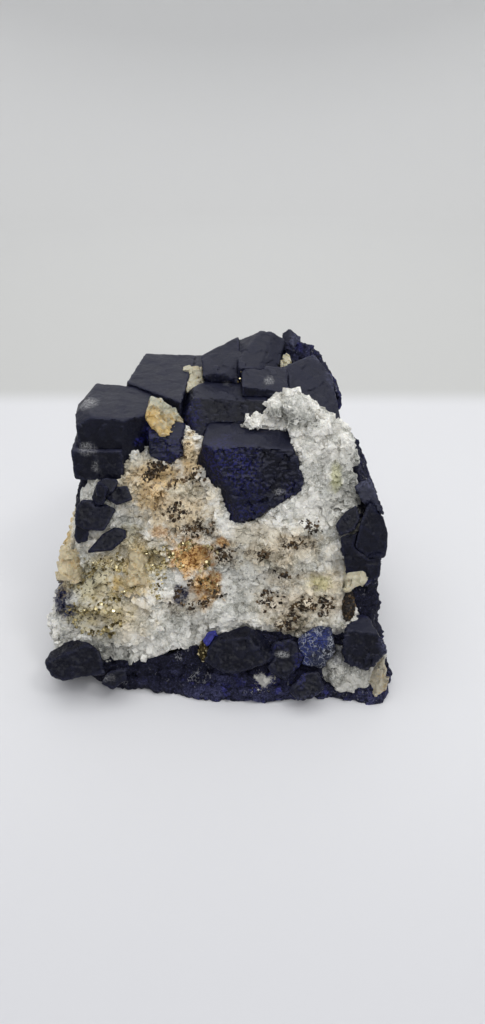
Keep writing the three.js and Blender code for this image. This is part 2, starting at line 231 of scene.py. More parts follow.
# %% Helpers: nodes
def add(tree, kind, inputs=None, **settings):
    """Adds a node. Each input is given a value, or is wired to another node's output."""
    node = tree.nodes.new(kind)
    for key, value in settings.items():
        setattr(node, key, value)
    for key, value in (inputs or {}).items():
        if isinstance(value, bpy.types.NodeSocket):
            tree.links.new(value, node.inputs[key])
        else:
            node.inputs[key].default_value = value
    return node


def maths(tree, operation, *values):
    return add(tree, "ShaderNodeMath", dict(enumerate(values)), operation=operation).outputs[0]


def product(tree, *values):
    return maths(tree, "MULTIPLY", *values)


def vector_maths(tree, operation, *values):
    node = add(tree, "ShaderNodeVectorMath", dict(enumerate(values)), operation=operation)
    return node.outputs["Value" if operation in ("LENGTH", "DOT_PRODUCT") else "Vector"]


def scaled(tree, vector, factor):
    node = add(tree, "ShaderNodeVectorMath", {0: vector, "Scale": factor}, operation="SCALE")
    return node.outputs["Vector"]


def remap(tree, value, low, high, to_low=0.0, to_high=1.0, kind="SMOOTHSTEP"):
    wires = {"Value": value, "From Min": low, "From Max": high, "To Min": to_low, "To Max": to_high}
    return add(tree, "ShaderNodeMapRange", wires, interpolation_type=kind).outputs["Result"]


def mixed(tree, share, first, second, blend="MIX"):
    node = add(tree, "ShaderNodeMix", {0: share, 6: first, 7: second}, data_type="RGBA")
    node.blend_type = blend
    return node.outputs[2]


def new_group(name, kind, ins, outs):
    """A node group with named sockets. Each input is (name, socket type, value)."""
    group = bpy.data.node_groups.new(name, kind)
    for label, socket_type, value in ins:
        socket = group.interface.new_socket(label, in_out="INPUT", socket_type=socket_type)
        if value is not None:
            socket.default_value = value
    for label, socket_type in outs:
        group.interface.new_socket(label, in_out="OUTPUT", socket_type=socket_type)
    start = group.nodes.new("NodeGroupInput")
    end = group.nodes.new("NodeGroupOutput")
    return group, start.outputs, end.inputs


FLOAT, VECTOR = "NodeSocketFloat", "NodeSocketVector"
GEOMETRY, INTEGER, COLLECTION = "NodeSocketGeometry", "NodeSocketInt", "NodeSocketCollection"


# %% [markdown]
# ## Shader effects that several minerals share
#
# Five effects come back in most of the minerals here. *Patch* is a ragged spot at a given place,
# for rust, honey stains or powder. *Grit* is random fine speckle with a matching height for bump.
# *Cells* gives each grain-sized cell its own random value, because a granular mineral varies from
# grain to grain and not smoothly. *Seams* are the thin lines between such grains. *Facets* gives
# every cell a flat surface with its own tilt, which is what makes a cleaved mineral sparkle. Each
# is built once as a group, in millimetres.

# %% Shared shader groups
def place_in_mm(group):
    here = add(group, "ShaderNodeTexCoord").outputs["Object"]
    return scaled(group, here, 1 / MM)


def ragged_distance(group, start, here, ragged):
    """Distance from a place, measured in reaches and made uneven by a noise round 0.5."""
    offset = vector_maths(group, "SUBTRACT", here, start["Place"])
    distance = vector_maths(group, "LENGTH", vector_maths(group, "DIVIDE", offset, start["Reach"]))
    return maths(group, "MULTIPLY_ADD", maths(group, "SUBTRACT", ragged, 0.5),
                 product(group, start["Raggedness"], 4.0), distance)


def build_patch():
    group, start, end = new_group(
        "patch", "ShaderNodeTree",
        [("Place", VECTOR, None), ("Reach", VECTOR, (10, 10, 10)), ("Ragged", FLOAT, 0.5),
         ("Raggedness", FLOAT, 0.5), ("Softness", FLOAT, 0.3)],
        [("Mask", FLOAT)],
    )
    ragged = ragged_distance(group, start, place_in_mm(group), start["Ragged"])
    inner = maths(group, "SUBTRACT", 1.0, start["Softness"])
    outer = maths(group, "ADD", 1.0, start["Softness"])
    group.links.new(remap(group, ragged, inner, outer, 1.0, 0.0), end["Mask"])
    return group


def build_grit():
    group, start, end = new_group(
        "grit", "ShaderNodeTree",
        [("Size", FLOAT, 0.5), ("Share", FLOAT, 0.3), ("Detail", FLOAT, 3.0)],
        [("Mask", FLOAT), ("Height", FLOAT)],
    )
    noise = add(group, "ShaderNodeTexNoise", {
        "Vector": place_in_mm(group), "Scale": maths(group, "DIVIDE", 1.0, start["Size"]),
        "Detail": start["Detail"], "Roughness": 0.65,
    }).outputs["Fac"]
    level = maths(group, "SUBTRACT", 0.68, product(group, start["Share"], 0.36))
    edge = maths(group, "ADD", level, 0.07)
    group.links.new(remap(group, noise, level, edge), end["Mask"])
    group.links.new(noise, end["Height"])
    return group


def swayed_cells(group, start, detail, **settings):
    """Voronoi cells of the group's size with wavy borders, and the swayed place they use."""
    here = place_in_mm(group)
    scale = maths(group, "DIVIDE", 1.0, start["Size"])
    sway = add(group, "ShaderNodeTexNoise", {"Vector": here, "Scale": scale, "Detail": detail})
    sway = vector_maths(group, "SUBTRACT", sway.outputs["Color"], (0.5, 0.5, 0.5))
    sway = scaled(group, sway, product(group, start["Warp"], start["Size"]))
    warped = vector_maths(group, "ADD", here, sway)
    return warped, add(group, "ShaderNodeTexVoronoi", {"Vector": warped, "Scale": scale}, **settings)


def build_cells():
    group, start, end = new_group(
        "cells", "ShaderNodeTree",
        [("Size", FLOAT, 2.0), ("Warp", FLOAT, 0.3)],
        [("Value", FLOAT), ("Crease", FLOAT)],
    )
    _, cell = swayed_cells(group, start, 2.0)
    split = add(group, "ShaderNodeSeparateColor", {0: cell.outputs["Color"]})
    group.links.new(split.outputs[0], end["Value"])
    crease = remap(group, cell.outputs["Distance"], 0.35, 0.75)
    group.links.new(crease, end["Crease"])
    return group


def build_seams():
    group, start, end = new_group(
        "seams", "ShaderNodeTree",
        [("Size", FLOAT, 2.0), ("Width", FLOAT, 0.12), ("Warp", FLOAT, 0.5)], [("Mask", FLOAT)],
    )
    _, cell = swayed_cells(group, start, 3.0, feature="DISTANCE_TO_EDGE")
    group.links.new(remap(group, cell.outputs["Distance"], 0.0, start["Width"], 1.0, 0.0), end["Mask"])
    return group


def build_facets():
    group, start, end = new_group(
        "facets", "ShaderNodeTree",
        [("Size", FLOAT, 1.0), ("Warp", FLOAT, 0.3), ("Tilt", FLOAT, 1.0), ("Step", FLOAT, 0.2)],
        [("Height", FLOAT), ("Value", FLOAT)],
    )
    warped, cell = swayed_cells(group, start, 2.0)
    tip = vector_maths(group, "SUBTRACT", cell.outputs["Color"], (0.5, 0.5, 0.5))
    arm = vector_maths(group, "SUBTRACT", warped, cell.outputs["Position"])
    lean = product(group, vector_maths(group, "DOT_PRODUCT", arm, tip), start["Tilt"])
    value = add(group, "ShaderNodeSeparateColor", {0: cell.outputs["Color"]}).outputs[0]
    height = maths(group, "MULTIPLY_ADD", value, start["Step"], lean)
    group.links.new(height, end["Height"])
    group.links.new(value, end["Value"])
    return group


EFFECTS = {"patch": build_patch(), "grit": build_grit(), "cells": build_cells(),
           "seams": build_seams(), "facets": build_facets()}
print("shader groups:", ", ".join(EFFECTS))


def effect(tree, name, **values):
    """Places a shared group in a material. Values are given by input name, in millimetres."""
    node = tree.nodes.new("ShaderNodeGroup")
    node.node_tree = EFFECTS[name]
    for key, value in values.items():
        if isinstance(value, bpy.types.NodeSocket):
            tree.links.new(value, node.inputs[key])
        else:
            node.inputs[key].default_value = value
    return node.outputs


def patches(tree, spots, ragged, raggedness=0.5, softness=0.45):
    """One mask for a list of ragged spots: place in metres, reach in millimetres, strength."""
    total = 0.0
    for place, reach, strength in spots:
        spot = effect(tree, "patch", Place=tuple(place / MM), Reach=reach, Ragged=ragged,
                      Raggedness=raggedness, Softness=softness)["Mask"]
        total = maths(tree, "MAXIMUM", total, product(tree, spot, strength))
    return total


def attribute(tree, name):
    return add(tree, "ShaderNodeAttribute", attribute_name=name).outputs["Fac"]


def new_material(name, roughness=0.5, specular=0.5):
    """A material that holds one Principled shader, ready for its colour to be wired."""
    material = bpy.data.materials.new(name)
    material.use_nodes = True
    tree = material.node_tree
    shader = tree.nodes["Principled BSDF"]
    shader.inputs["Roughness"].default_value = roughness
    shader.inputs["Specular IOR Level"].default_value = specular
    return material, tree, shader


def paint(tree, shader, colour):
    tree.links.new(colour, shader.inputs["Base Color"])


def bump(tree, shader, height, strength, distance):
    node = add(tree, "ShaderNodeBump",
               {"Height": height, "Strength": strength, "Distance": distance * MM})
    tree.links.new(node.outputs["Normal"], shader.inputs["Normal"])


def let_light_in(shader, weight, depth, tint):
    """Light soaks that many millimetres into the mineral."""
    shader.inputs["Subsurface Weight"].default_value = weight
    shader.inputs["Subsurface Radius"].default_value = tint
    shader.inputs["Subsurface Scale"].default_value = depth * MM


# %% [markdown]
# ## Lazurite
#
# A lazurite crystal is so deep a blue that its faces look black. Only a worn edge or a powdery
# crust shows the ultramarine. The grown faces are dull, like fine ground glass, so they take a
# soft grey-blue shine from a bright ceiling. Etched and broken faces stay almost black, partly by
# their own colour and partly by painted shade, and a few places have blue glints painted into
# their colour. Some rims carry velvety powder, and here and there a knock has left a pale scuff.
# The surface group further down stores how proud each point stands and how near it is to an edge.
# The colour follows both: worn edges are paler, and proud points are painted paler than the
# hollows, as painted shade.

# %% Lazurite materials
def spots_near(*rows):
    """Spots given by a solid's name, a shift from its middle and a reach, all in millimetres."""
    return [(shifted(node, *shift), reach, strength) for node, shift, reach, strength in rows]


# Places where blue glints, a painted highlight, are painted on the crystals.
BLUE_SPOTS = spots_near(
    ("main_crystal", (-5, -10, 8), (8, 9, 8), 0.8),
    ("main_crystal", (0, -12, 0), (6, 8, 5), 0.4),
    ("main_crystal", (17, -8, -4), (5, 9, 6), 0.4),
    ("main_crystal", (-2, -14, -8), (7, 8, 4), 0.5),
    ("small_upper_crystal", (2, -4, 4), (6, 6, 4), 0.5),
    ("upper_left_crystal", (12, -8, 7), (3, 5, 4), 0.9),
    ("upper_left_crystal", (7, -9, 3), (1.4, 3, 1.4), 1.0),
    ("top_middle_crystal", (-15, -9, 2), (4, 6, 6), 0.6),
    ("cream_nugget", (4, -4, -6), (6, 6, 7), 0.6),
    ("left_foot_crystal", (4, -6, -4), (10, 6, 4), 0.4),
    ("lower_middle_crystal", (-1, -6, 8), (3, 5, 2), 0.9),
    ("lower_middle_crystal", (5, -5, 1), (2, 6, 6), 0.7),
)

POWDER_SPOTS = spots_near(
    ("right_shoulder_crystal", (12, 4, 6), (4, 9, 12), 0.8),
    ("peak_crystal", (6, 0, 0), (8, 10, 5), 0.7),
    ("corner_crystal", (8, -2, 2), (3, 8, 10), 0.8),
    ("bottom_edge_crystal", (4, -5, -2), (9, 6, 3), 0.5),
    ("right_upper_crystal", (2, 2, 6), (5, 8, 5), 0.6),
)

SCUFFS = spots_near(
    ("upper_left_crystal", (-10.7, 0.5, 12.7), (2.6, 3, 1.2), 1.0),
    ("upper_left_crystal", (-9.5, -13, 2.5), (2.2, 3, 1.6), 0.9),
    ("side_crystal", (-0.2, -4, 0), (1.2, 3, 2.4), 0.8),
    ("main_crystal", (11, -10, -2), (1.6, 3, 1.0), 0.9),
    ("low_plate_crystal", (1, -0.6, 6), (1.8, 2, 1.2), 1.0),
    ("ridge_crystal", (-6, -9, 1), (2.2, 3, 1.0), 0.6),
    ("lower_middle_crystal", (-1, -3, 5), (2.0, 3, 0.8), 1.0),
    ("small_foot_crystal", (-3, -4, 3), (2.5, 4, 1.2), 0.8),
)


def lazurite(name, deep, pale, blue, roughness, specular, grain):
    material, tree, shader = new_material(name, roughness, specular)
    broad = effect(tree, "grit", Size=7.0, Share=0.5, Detail=3.0)
    fine = effect(tree, "grit", Size=0.45, Share=0.4, Detail=3.0)
    glint = effect(tree, "grit", Size=0.9, Share=0.55, Detail=3.0)
    # Painted shade: points that stand proud are painted paler and hollows stay darker. Worn edges are
    # paler too, which is wear.
    proud = remap(tree, attribute(tree, "relief"), -0.1, 0.45)
    edge = remap(tree, attribute(tree, "edge"), 0.06, 0.45)
    worn = product(tree, edge, remap(tree, fine["Height"], 0.4, 0.6))
    lift = maths(tree, "MAXIMUM", product(tree, proud, 0.45), product(tree, worn, 0.8))
    lift = maths(tree, "MAXIMUM", lift, product(tree, broad["Mask"], 0.18))
    colour = mixed(tree, lift, deep, pale)
    # Painted highlight: blue glints in a fine speckle, painted into the colour within the blue spots.
    zone = patches(tree, BLUE_SPOTS, broad["Height"], raggedness=0.6)
    painted_glints = product(tree, glint["Mask"], remap(tree, fine["Height"], 0.35, 0.65, 0.2, 0.9))
    colour = mixed(tree, product(tree, zone, painted_glints), colour, blue)
    velvet = patches(tree, POWDER_SPOTS, broad["Height"], raggedness=0.6)
    velvet = product(tree, velvet, remap(tree, glint["Height"], 0.38, 0.62))
    colour = mixed(tree, velvet, colour, (0.085, 0.090, 0.165, 1))
    curls = effect(tree, "seams", Size=1.0, Width=0.16, Warp=1.8)["Mask"]
    scuffs = patches(tree, SCUFFS, broad["Height"], raggedness=0.8, softness=0.6)
    scuffs = product(tree, scuffs, maths(tree, "MULTIPLY_ADD", curls, 0.6, 0.12))
    colour = mixed(tree, scuffs, colour, (0.42, 0.42, 0.42, 1))
    paint(tree, shader, colour)
    dull = remap(tree, broad["Height"], 0.3, 0.7, roughness - 0.05, roughness + 0.08)
    tree.links.new(dull, shader.inputs["Roughness"])
    etched = effect(tree, "facets", Size=0.8, Warp=0.8, Tilt=grain, Step=0.1 * grain)["Height"]
    height = maths(tree, "MULTIPLY_ADD", fine["Height"], 0.12 * grain, etched)
    bump(tree, shader, height, 1.0, 1.0)
    return material


GROWN = lazurite("lazurite grown face", (0.007, 0.008, 0.021, 1), (0.018, 0.020, 0.046, 1),
                 (0.03, 0.030, 0.13, 1), 0.46, 0.30, 0.12)
# The darker copy, for faces turned from the ceiling: partly the etched faces' own colour, partly painted
# shade.
ETCHED_AND_SHADED = lazurite("lazurite etched and shaded face", (0.0018, 0.0022, 0.0075, 1), (0.015, 0.017, 0.042, 1),
                  (0.024, 0.026, 0.18, 1), 0.36, 0.20, 0.4)
NUB = lazurite("lazurite pure blue", (0.02, 0.022, 0.13, 1), (0.055, 0.06, 0.36, 1),
               (0.08, 0.09, 0.45, 1), 0.6, 0.2, 0.4)
print("made", GROWN.name, ETCHED_AND_SHADED.name, NUB.name)


# %% [markdown]
# One crystal by the lower right is not black but azure. It is a felt of bright blue and grey
# fibres with white calcite between them, so it gets a mottled material of its own.

# %% Azure material
def azure_material():
    material, tree, shader = new_material("azure felt", 0.6, 0.25)
    felt = effect(tree, "cells", Size=2.4, Warp=1.4)
    cloud = effect(tree, "grit", Size=3.2, Share=0.5, Detail=4.0)
    fibres = effect(tree, "grit", Size=0.5, Share=0.3, Detail=4.0)
    colour = mixed(tree, felt["Value"], (0.003, 0.004, 0.011, 1), (0.018, 0.023, 0.055, 1))
    low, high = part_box("azure_crystal")
    top = patches(tree, [((low + high) / 2 + Vector((-1, -3, 5)) * MM, (5, 8, 3), 1.0),
                         (Vector((low.x + 2 * MM, low.y, (low.z + high.z) / 2)), (2, 6, 5), 0.8)],
                  cloud["Height"], raggedness=0.7)
    blue = product(tree, top, remap(tree, fibres["Height"], 0.38, 0.6))
    colour = mixed(tree, blue, colour, (0.018, 0.030, 0.16, 1))
    pale = product(tree, fibres["Mask"], remap(tree, felt["Crease"], 0.0, 0.5))
    pale = product(tree, pale, cloud["Mask"])
    colour = mixed(tree, product(tree, pale, 0.7), colour, (0.26, 0.28, 0.32, 1))
    strands = effect(tree, "seams", Size=2.2, Width=0.07, Warp=1.8)["Mask"]
    strands = product(tree, strands, remap(tree, cloud["Height"], 0.42, 0.58, 0.1, 0.75))
    colour = mixed(tree, strands, colour, (0.42, 0.44, 0.48, 1))
    paint(tree, shader, colour)
    bump(tree, shader, fibres["Height"], 0.6, 0.4)
    return material


AZURE = azure_material()
print("made", AZURE.name)


# %% [markdown]
# ## Lazurite rock
#
# The rock round the block is the same mineral as a mass of tiny grains. It breaks rough, and
# where it has been rubbed it carries a velvety ultramarine powder. White specks of calcite are
# scattered through it, and in a few places a ragged patch of the bed shows. The powder lies in
# chosen places: along the front foot, up the right side and its shoulder, and twice at the back.
# Within them it thins out in the hollows, which stay darker: partly less powder, partly painted
# shade. The rest stays near black, with a few strays.

# %% Lazurite rock material
def rock_material():
    material, tree, shader = new_material("lazurite rock", 0.75, 0.18)
    low, high = cad_box
    powder_places = [
        (Vector((14 * MM, low.y, 2 * MM)), (34, 16, 8), 0.9),
        (Vector((high.x - 6 * MM, low.y, 3 * MM)), (14, 18, 7), 1.0),
        (Vector((high.x, -20 * MM, 20 * MM)), (4, 30, 26), 0.7),
        (shifted("peak_crystal", 8, 0, -2), (11, 14, 7), 0.9),
        (shifted("right_shoulder_crystal", 18, 12, 0), (8, 16, 20), 0.8),
        (shifted("right_upper_crystal", 6, 12, 10), (7, 18, 12), 0.7),
        (Vector((-20 * MM, high.y, 70 * MM)), (30, 14, 20), 0.6),
        (Vector((10 * MM, high.y, 20 * MM)), (26, 14, 16), 0.5),
    ]
    ragged = effect(tree, "grit", Size=5.0, Share=0.5, Detail=3.0)["Height"]
    powder = patches(tree, powder_places, ragged, raggedness=0.5, softness=0.55)
    dapple = effect(tree, "grit", Size=1.6, Share=0.75, Detail=4.0)
    stray = effect(tree, "grit", Size=3.0, Share=0.15, Detail=4.0)
    fine = effect(tree, "grit", Size=0.55, Share=0.4, Detail=4.0)
    # The powder thins where the surface lies low, so the hollows stay darker: partly less powder, partly
    # painted shade.
    proud = remap(tree, attribute(tree, "relief"), -0.5, 0.5, 0.35, 1.0)
    powder = product(tree, product(tree, powder, dapple["Mask"]), proud)
    powder = maths(tree, "MAXIMUM", powder, product(tree, stray["Mask"], 0.45))
    dark = mixed(tree, fine["Mask"], (0.005, 0.0055, 0.014, 1), (0.022, 0.023, 0.055, 1))
    vivid = effect(tree, "grit", Size=4.0, Share=0.4, Detail=4.0)["Mask"]
    dull = mixed(tree, remap(tree, fine["Height"], 0.35, 0.65),
                 (0.018, 0.019, 0.055, 1), (0.075, 0.078, 0.165, 1))
    bright = mixed(tree, remap(tree, fine["Height"], 0.35, 0.65),
                   (0.020, 0.020, 0.10, 1), (0.070, 0.072, 0.33, 1))
    bright = mixed(tree, vivid, dull, bright)
    colour = mixed(tree, powder, dark, bright)
    strands = effect(tree, "seams", Size=2.6, Width=0.07, Warp=1.8)["Mask"]
    spread = effect(tree, "grit", Size=5.0, Share=0.25, Detail=3.0)["Mask"]
    flecks = effect(tree, "grit", Size=0.9, Share=0.05, Detail=3.0)["Mask"]
    pale = maths(tree, "MAXIMUM", product(tree, strands, spread), flecks)
    colour = mixed(tree, product(tree, pale, 0.6), colour, (0.36, 0.36, 0.38, 1))
    calcite_places = spots_near(
        ("right_inner_crystal", (5, -4, -3), (4, 8, 7), 1.0),
        ("right_block_crystal", (-6, -4, -9), (6, 8, 5), 1.0),
        ("small_foot_crystal", (-5, -4, 4), (5, 8, 3), 0.9),
        ("left_foot_crystal", (6, -4, 7), (4, 8, 3), 0.9),
        ("bottom_crystal", (8, -4, -7), (3, 8, 2), 0.9),
        ("right_upper_crystal", (4, 4, -2), (4, 8, 3), 0.8),
    )
    bare = patches(tree, calcite_places, dapple["Height"], raggedness=0.8, softness=0.3)
    crystals = effect(tree, "cells", Size=1.6, Warp=0.8)["Value"]
    cream = mixed(tree, crystals, (0.42, 0.41, 0.38, 1), (0.80, 0.78, 0.71, 1))
    colour = mixed(tree, bare, colour, cream)
    paint(tree, shader, colour)
    broken = effect(tree, "facets", Size=1.2, Warp=0.8, Tilt=0.8, Step=0.15)["Height"]
    bump(tree, shader, maths(tree, "MULTIPLY_ADD", fine["Height"], 0.25, broken), 1.0, 1.0)
    return material


ROCK = rock_material()
print("made", ROCK.name)


# %% [markdown]
# ## Calcite
#
# The white bed is calcite in grains of one to three millimetres, fused like old snow. Some grains
# are milky white, others are clear enough to look grey, and light soaks a little way into all of
# them. The grains are cleaved flat, so each one tips its own way and some of them flash. Iron and
# pyrite dust have stained parts of it. A stain is never even: a thin tint covers the area, and
# fine dark specks fill the gaps between the grains. So each kind of stain has a tint and a speck
# colour, and lies in its own spots, given across and up the bed's display side.

# %% Calcite material
STAIN_KINDS = {  # tint and its share, colour, share and size of the specks
    "grey": ((0.60, 0.61, 0.60, 1), 0.80, (0.12, 0.12, 0.11, 1), 0.30, 1.2),
    "beige": ((0.94, 0.81, 0.58, 1), 0.85, (0.30, 0.22, 0.12, 1), 0.15, 1.0),
    "umber": ((0.76, 0.66, 0.53, 1), 0.75, (0.035, 0.024, 0.016, 1), 0.36, 1.6),
    "rust": ((0.94, 0.72, 0.40, 1), 0.85, (0.040, 0.018, 0.008, 1), 0.42, 1.5),
    "orange": ((0.94, 0.58, 0.20, 1), 0.90, (0.24, 0.095, 0.018, 1), 0.50, 1.1),
    "gold": ((0.84, 0.76, 0.48, 1), 0.80, (0.050, 0.038, 0.014, 1), 0.42, 1.2),
    "honey": ((0.92, 0.72, 0.36, 1), 0.90, (0.40, 0.24, 0.08, 1), 0.15, 1.2),
    "yellow": ((0.66, 0.66, 0.36, 1), 0.85, (0.20, 0.19, 0.07, 1), 0.30, 1.2),
    "blue": ((0.24, 0.25, 0.34, 1), 0.90, (0.010, 0.012, 0.05, 1), 0.65, 1.2),
}

STAINS = {  # share of the way across, share of the way up, reach across and up in mm, strength
    "grey": [(0.63, 0.42, 13, 8, 0.9), (0.64, 0.33, 12, 6, 0.7), (0.10, 0.27, 9, 12, 0.7),
             (0.18, 0.07, 16, 6, 0.8), (0.92, 0.64, 7, 10, 0.6), (0.77, 0.955, 7, 3, 1.0),
             (0.95, 0.76, 5, 7, 0.8), (0.47, 0.20, 9, 7, 0.5), (0.28, 0.62, 8, 8, 0.6),
             (0.26, 0.78, 10, 5, 0.6), (0.80, 0.17, 12, 5, 0.8), (0.14, 0.12, 10, 6, 0.6),
             (0.96, 0.50, 4, 6, 0.7), (0.86, 0.40, 8, 4, 0.4)],
    "yellow": [(0.905, 0.73, 2, 4, 0.8), (0.86, 0.34, 4, 1.6, 0.8)],
    "beige": [(0.42, 0.64, 14, 9, 0.8), (0.30, 0.72, 11, 7, 0.7), (0.28, 0.45, 14, 7, 0.6),
              (0.66, 0.52, 9, 5, 0.5), (0.87, 0.33, 7, 5, 0.7), (0.24, 0.22, 12, 8, 0.6),
              (0.80, 0.25, 16, 9, 0.45), (0.74, 0.47, 16, 7, 0.5)],
    "umber": [(0.48, 0.54, 8, 5, 0.9), (0.42, 0.60, 9, 5, 0.7), (0.56, 0.45, 6, 4, 0.9),
              (0.70, 0.455, 8, 3, 0.8), (0.79, 0.49, 8, 2.5, 0.8), (0.73, 0.27, 6, 4, 0.6),
              (0.82, 0.26, 8, 3, 0.8), (0.90, 0.25, 5, 3, 0.7), (0.77, 0.19, 6, 4, 1.0),
              (0.75, 0.37, 7, 3, 0.6), (0.44, 0.27, 7, 4, 0.8)],
    "rust": [(0.36, 0.73, 8, 3.5, 0.9), (0.46, 0.79, 4, 6, 0.9), (0.34, 0.67, 5, 5, 0.8)],
    "orange": [(0.46, 0.44, 7, 4.5, 1.0), (0.51, 0.33, 5, 5, 1.0), (0.37, 0.53, 3, 2, 0.6),
               (0.56, 0.49, 2, 1.5, 0.9)],
    "gold": [(0.16, 0.34, 9, 6, 0.9), (0.21, 0.40, 8, 3.5, 0.8), (0.12, 0.21, 7, 4, 0.9),
             (0.20, 0.225, 8, 3.5, 0.9), (0.34, 0.42, 6, 5, 0.8), (0.27, 0.50, 4, 5, 0.6)],
    "honey": [(0.27, 0.33, 7, 3, 0.9), (0.05, 0.40, 4, 12, 0.9), (0.03, 0.29, 3, 4, 0.8),
              (0.30, 0.40, 4, 8, 0.5)],
    "blue": [(0.055, 0.235, 5, 3.5, 1.0), (0.43, 0.295, 2.5, 2.5, 0.9), (0.92, 0.10, 6, 4, 0.5)],
}


BED_SIDE = Vector((110.8, 50, 82.3)) * MM


def bed_spot(across, up, wide, tall):
    """A spot on the bed. It runs right through it, so only two directions count."""
    low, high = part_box("calcite_matrix")
    place = Vector((high.x - (1 - across) * BED_SIDE.x, (low.y + high.y) / 2,
                    high.z - (1 - up) * BED_SIDE.z))
    return place, (wide, 2 * BED_SIDE.y / MM, tall)


def calcite(name, tone=None, shade=(1, 1, 1, 1)):
    """Calcite whose lightness varies by lump and grain, or by a value stored on each grain."""
    material, tree, shader = new_material(name, 0.3, 0.5)
    lump = effect(tree, "cells", Size=6.5, Warp=1.0)["Value"]
    large = effect(tree, "facets", Size=2.6, Warp=1.0, Tilt=0.5, Step=0.2)
    small = effect(tree, "facets", Size=0.9, Warp=1.4, Tilt=0.6, Step=0.08)
    fine = effect(tree, "grit", Size=0.6, Share=0.4, Detail=4.0)
    clear = effect(tree, "grit", Size=9.0, Share=0.50, Detail=4.0)["Mask"]
    lines = effect(tree, "seams", Size=1.5, Width=0.08, Warp=2.4)["Mask"]
    curls = effect(tree, "seams", Size=1.1, Width=0.08, Warp=2.8)["Mask"]
    ragged = effect(tree, "grit", Size=3.5, Share=0.5, Detail=3.0)["Height"]
    value = product(tree, attribute(tree, tone) if tone else large["Value"], 0.30)
    value = maths(tree, "MULTIPLY_ADD", lump, 0.36, value)
    # Painted shade: hollows in the surface are painted darker and proud parts lighter.
    proud = remap(tree, attribute(tree, "relief"), -0.9, 0.7, 0.0, 0.36, "LINEAR")
    value = maths(tree, "ADD", value, proud)
    ramp = add(tree, "ShaderNodeValToRGB", {"Fac": value})
    ramp.color_ramp.elements[0].color = (0.44, 0.43, 0.39, 1)
    ramp.color_ramp.elements[1].color = (0.97, 0.95, 0.88, 1)
    for place, tint in ((0.24, (0.74, 0.72, 0.66, 1)), (0.55, (0.90, 0.88, 0.81, 1))):
        ramp.color_ramp.elements.new(place).color = tint
    colour = mixed(tree, 1.0, ramp.outputs["Color"], shade, "MULTIPLY")
    colour = mixed(tree, product(tree, clear, 0.85), colour, (0.60, 0.61, 0.59, 1), "MULTIPLY")
    # Thin dark curls are painted shadow between the grains, and thin pale lines along the grain borders
    # are painted highlights.
    shadow = product(tree, curls, maths(tree, "MULTIPLY_ADD", clear, 0.40, 0.12))
    colour = mixed(tree, shadow, colour, (0.20, 0.20, 0.18, 1))
    bright = product(tree, lines, maths(tree, "MULTIPLY_ADD", clear, 0.5, 0.2))
    colour = mixed(tree, bright, colour, (0.94, 0.93, 0.89, 1))
    for kind, (tint, tint_share, speck, speck_share, size) in STAIN_KINDS.items():
        spots = [(*bed_spot(*numbers), strength) for *numbers, strength in STAINS[kind]]
        mask = patches(tree, spots, ragged)
        colour = mixed(tree, product(tree, mask, tint_share), colour, tint, "MULTIPLY")
        specks = effect(tree, "grit", Size=size, Share=speck_share, Detail=3.0)["Mask"]
        colour = mixed(tree, product(tree, mask, specks), colour, speck)
    paint(tree, shader, colour)
    gloss = remap(tree, small["Value"], 0.0, 1.0, 0.20, 0.45, "LINEAR")
    tree.links.new(gloss, shader.inputs["Roughness"])
    let_light_in(shader, 0.3, 0.45, (1.0, 0.93, 0.8))
    height = maths(tree, "ADD", large["Height"], small["Height"])
    height = maths(tree, "MULTIPLY_ADD", fine["Height"], 0.2, height)
    bump(tree, shader, height, 0.8, 1.0)
    return material


CALCITE = calcite("calcite")
CALCITE_GRAINS = calcite("calcite grains", "tone")
GREY_CALCITE = calcite("grey calcite", shade=(0.62, 0.62, 0.61, 1))
print("calcite carries", sum(len(spots) for spots in STAINS.values()), "stain spots")


# %% [markdown]
# ## Honey calcite and pyrite
#
# A few lumps are solid honey or cream calcite. They are waxy and banded, so their colour runs in
# soft clouds between cream and amber. Pyrite is a metal to the eye: brassy gold where a grain is
# fresh and bronze or dark brown where it has rusted. Each grain carries its own random tone.

# %% Honey and pyrite materials
def honey(name, pale, warm, deep, warm_spots=()):
    material, tree, shader = new_material(name, 0.45, 0.4)
    cloud = effect(tree, "grit", Size=3.0, Share=0.35, Detail=4.0)
    stain = effect(tree, "grit", Size=1.6, Share=0.25, Detail=4.0)
    grain = effect(tree, "cells", Size=1.2, Warp=0.5)["Value"]
    broken = effect(tree, "facets", Size=1.6, Warp=0.6, Tilt=0.7, Step=0.2)
    spots = patches(tree, warm_spots, cloud["Height"], raggedness=0.6) if warm_spots else 0.0
    warmth = maths(tree, "MAXIMUM", product(tree, cloud["Mask"], 0.45), spots)
    colour = mixed(tree, warmth, pale, warm)
    colour = mixed(tree, product(tree, stain["Mask"], maths(tree, "MULTIPLY_ADD", warmth, 0.6, 0.2)),
                   colour, deep)
    shade = remap(tree, grain, 0.0, 1.0, 0.35, 0.0, "LINEAR")
    colour = mixed(tree, shade, colour, (0.45, 0.42, 0.35, 1), "MULTIPLY")
    paint(tree, shader, colour)
    let_light_in(shader, 0.4, 1.2, (1.0, 0.75, 0.45))
    bump(tree, shader, broken["Height"], 0.9, 1.0)
    return material


def pyrite(name, dark, middle, bright, metal):
    material, tree, shader = new_material(name, 0.32, 0.5)
    tone = attribute(tree, "tone")
    ramp = add(tree, "ShaderNodeValToRGB", {"Fac": tone})
    ramp.color_ramp.elements[0].color = dark
    ramp.color_ramp.elements[1].color = bright
    ramp.color_ramp.elements.new(0.4).color = middle
    rust = effect(tree, "grit", Size=0.4, Share=0.25, Detail=2.0)
    colour = mixed(tree, product(tree, rust["Mask"], 0.5), ramp.outputs["Color"], dark)
    paint(tree, shader, colour)
    tree.links.new(remap(tree, tone, 0.0, 1.0, 0.5, 0.25), shader.inputs["Roughness"])
    shader.inputs["Metallic"].default_value = metal
    return material


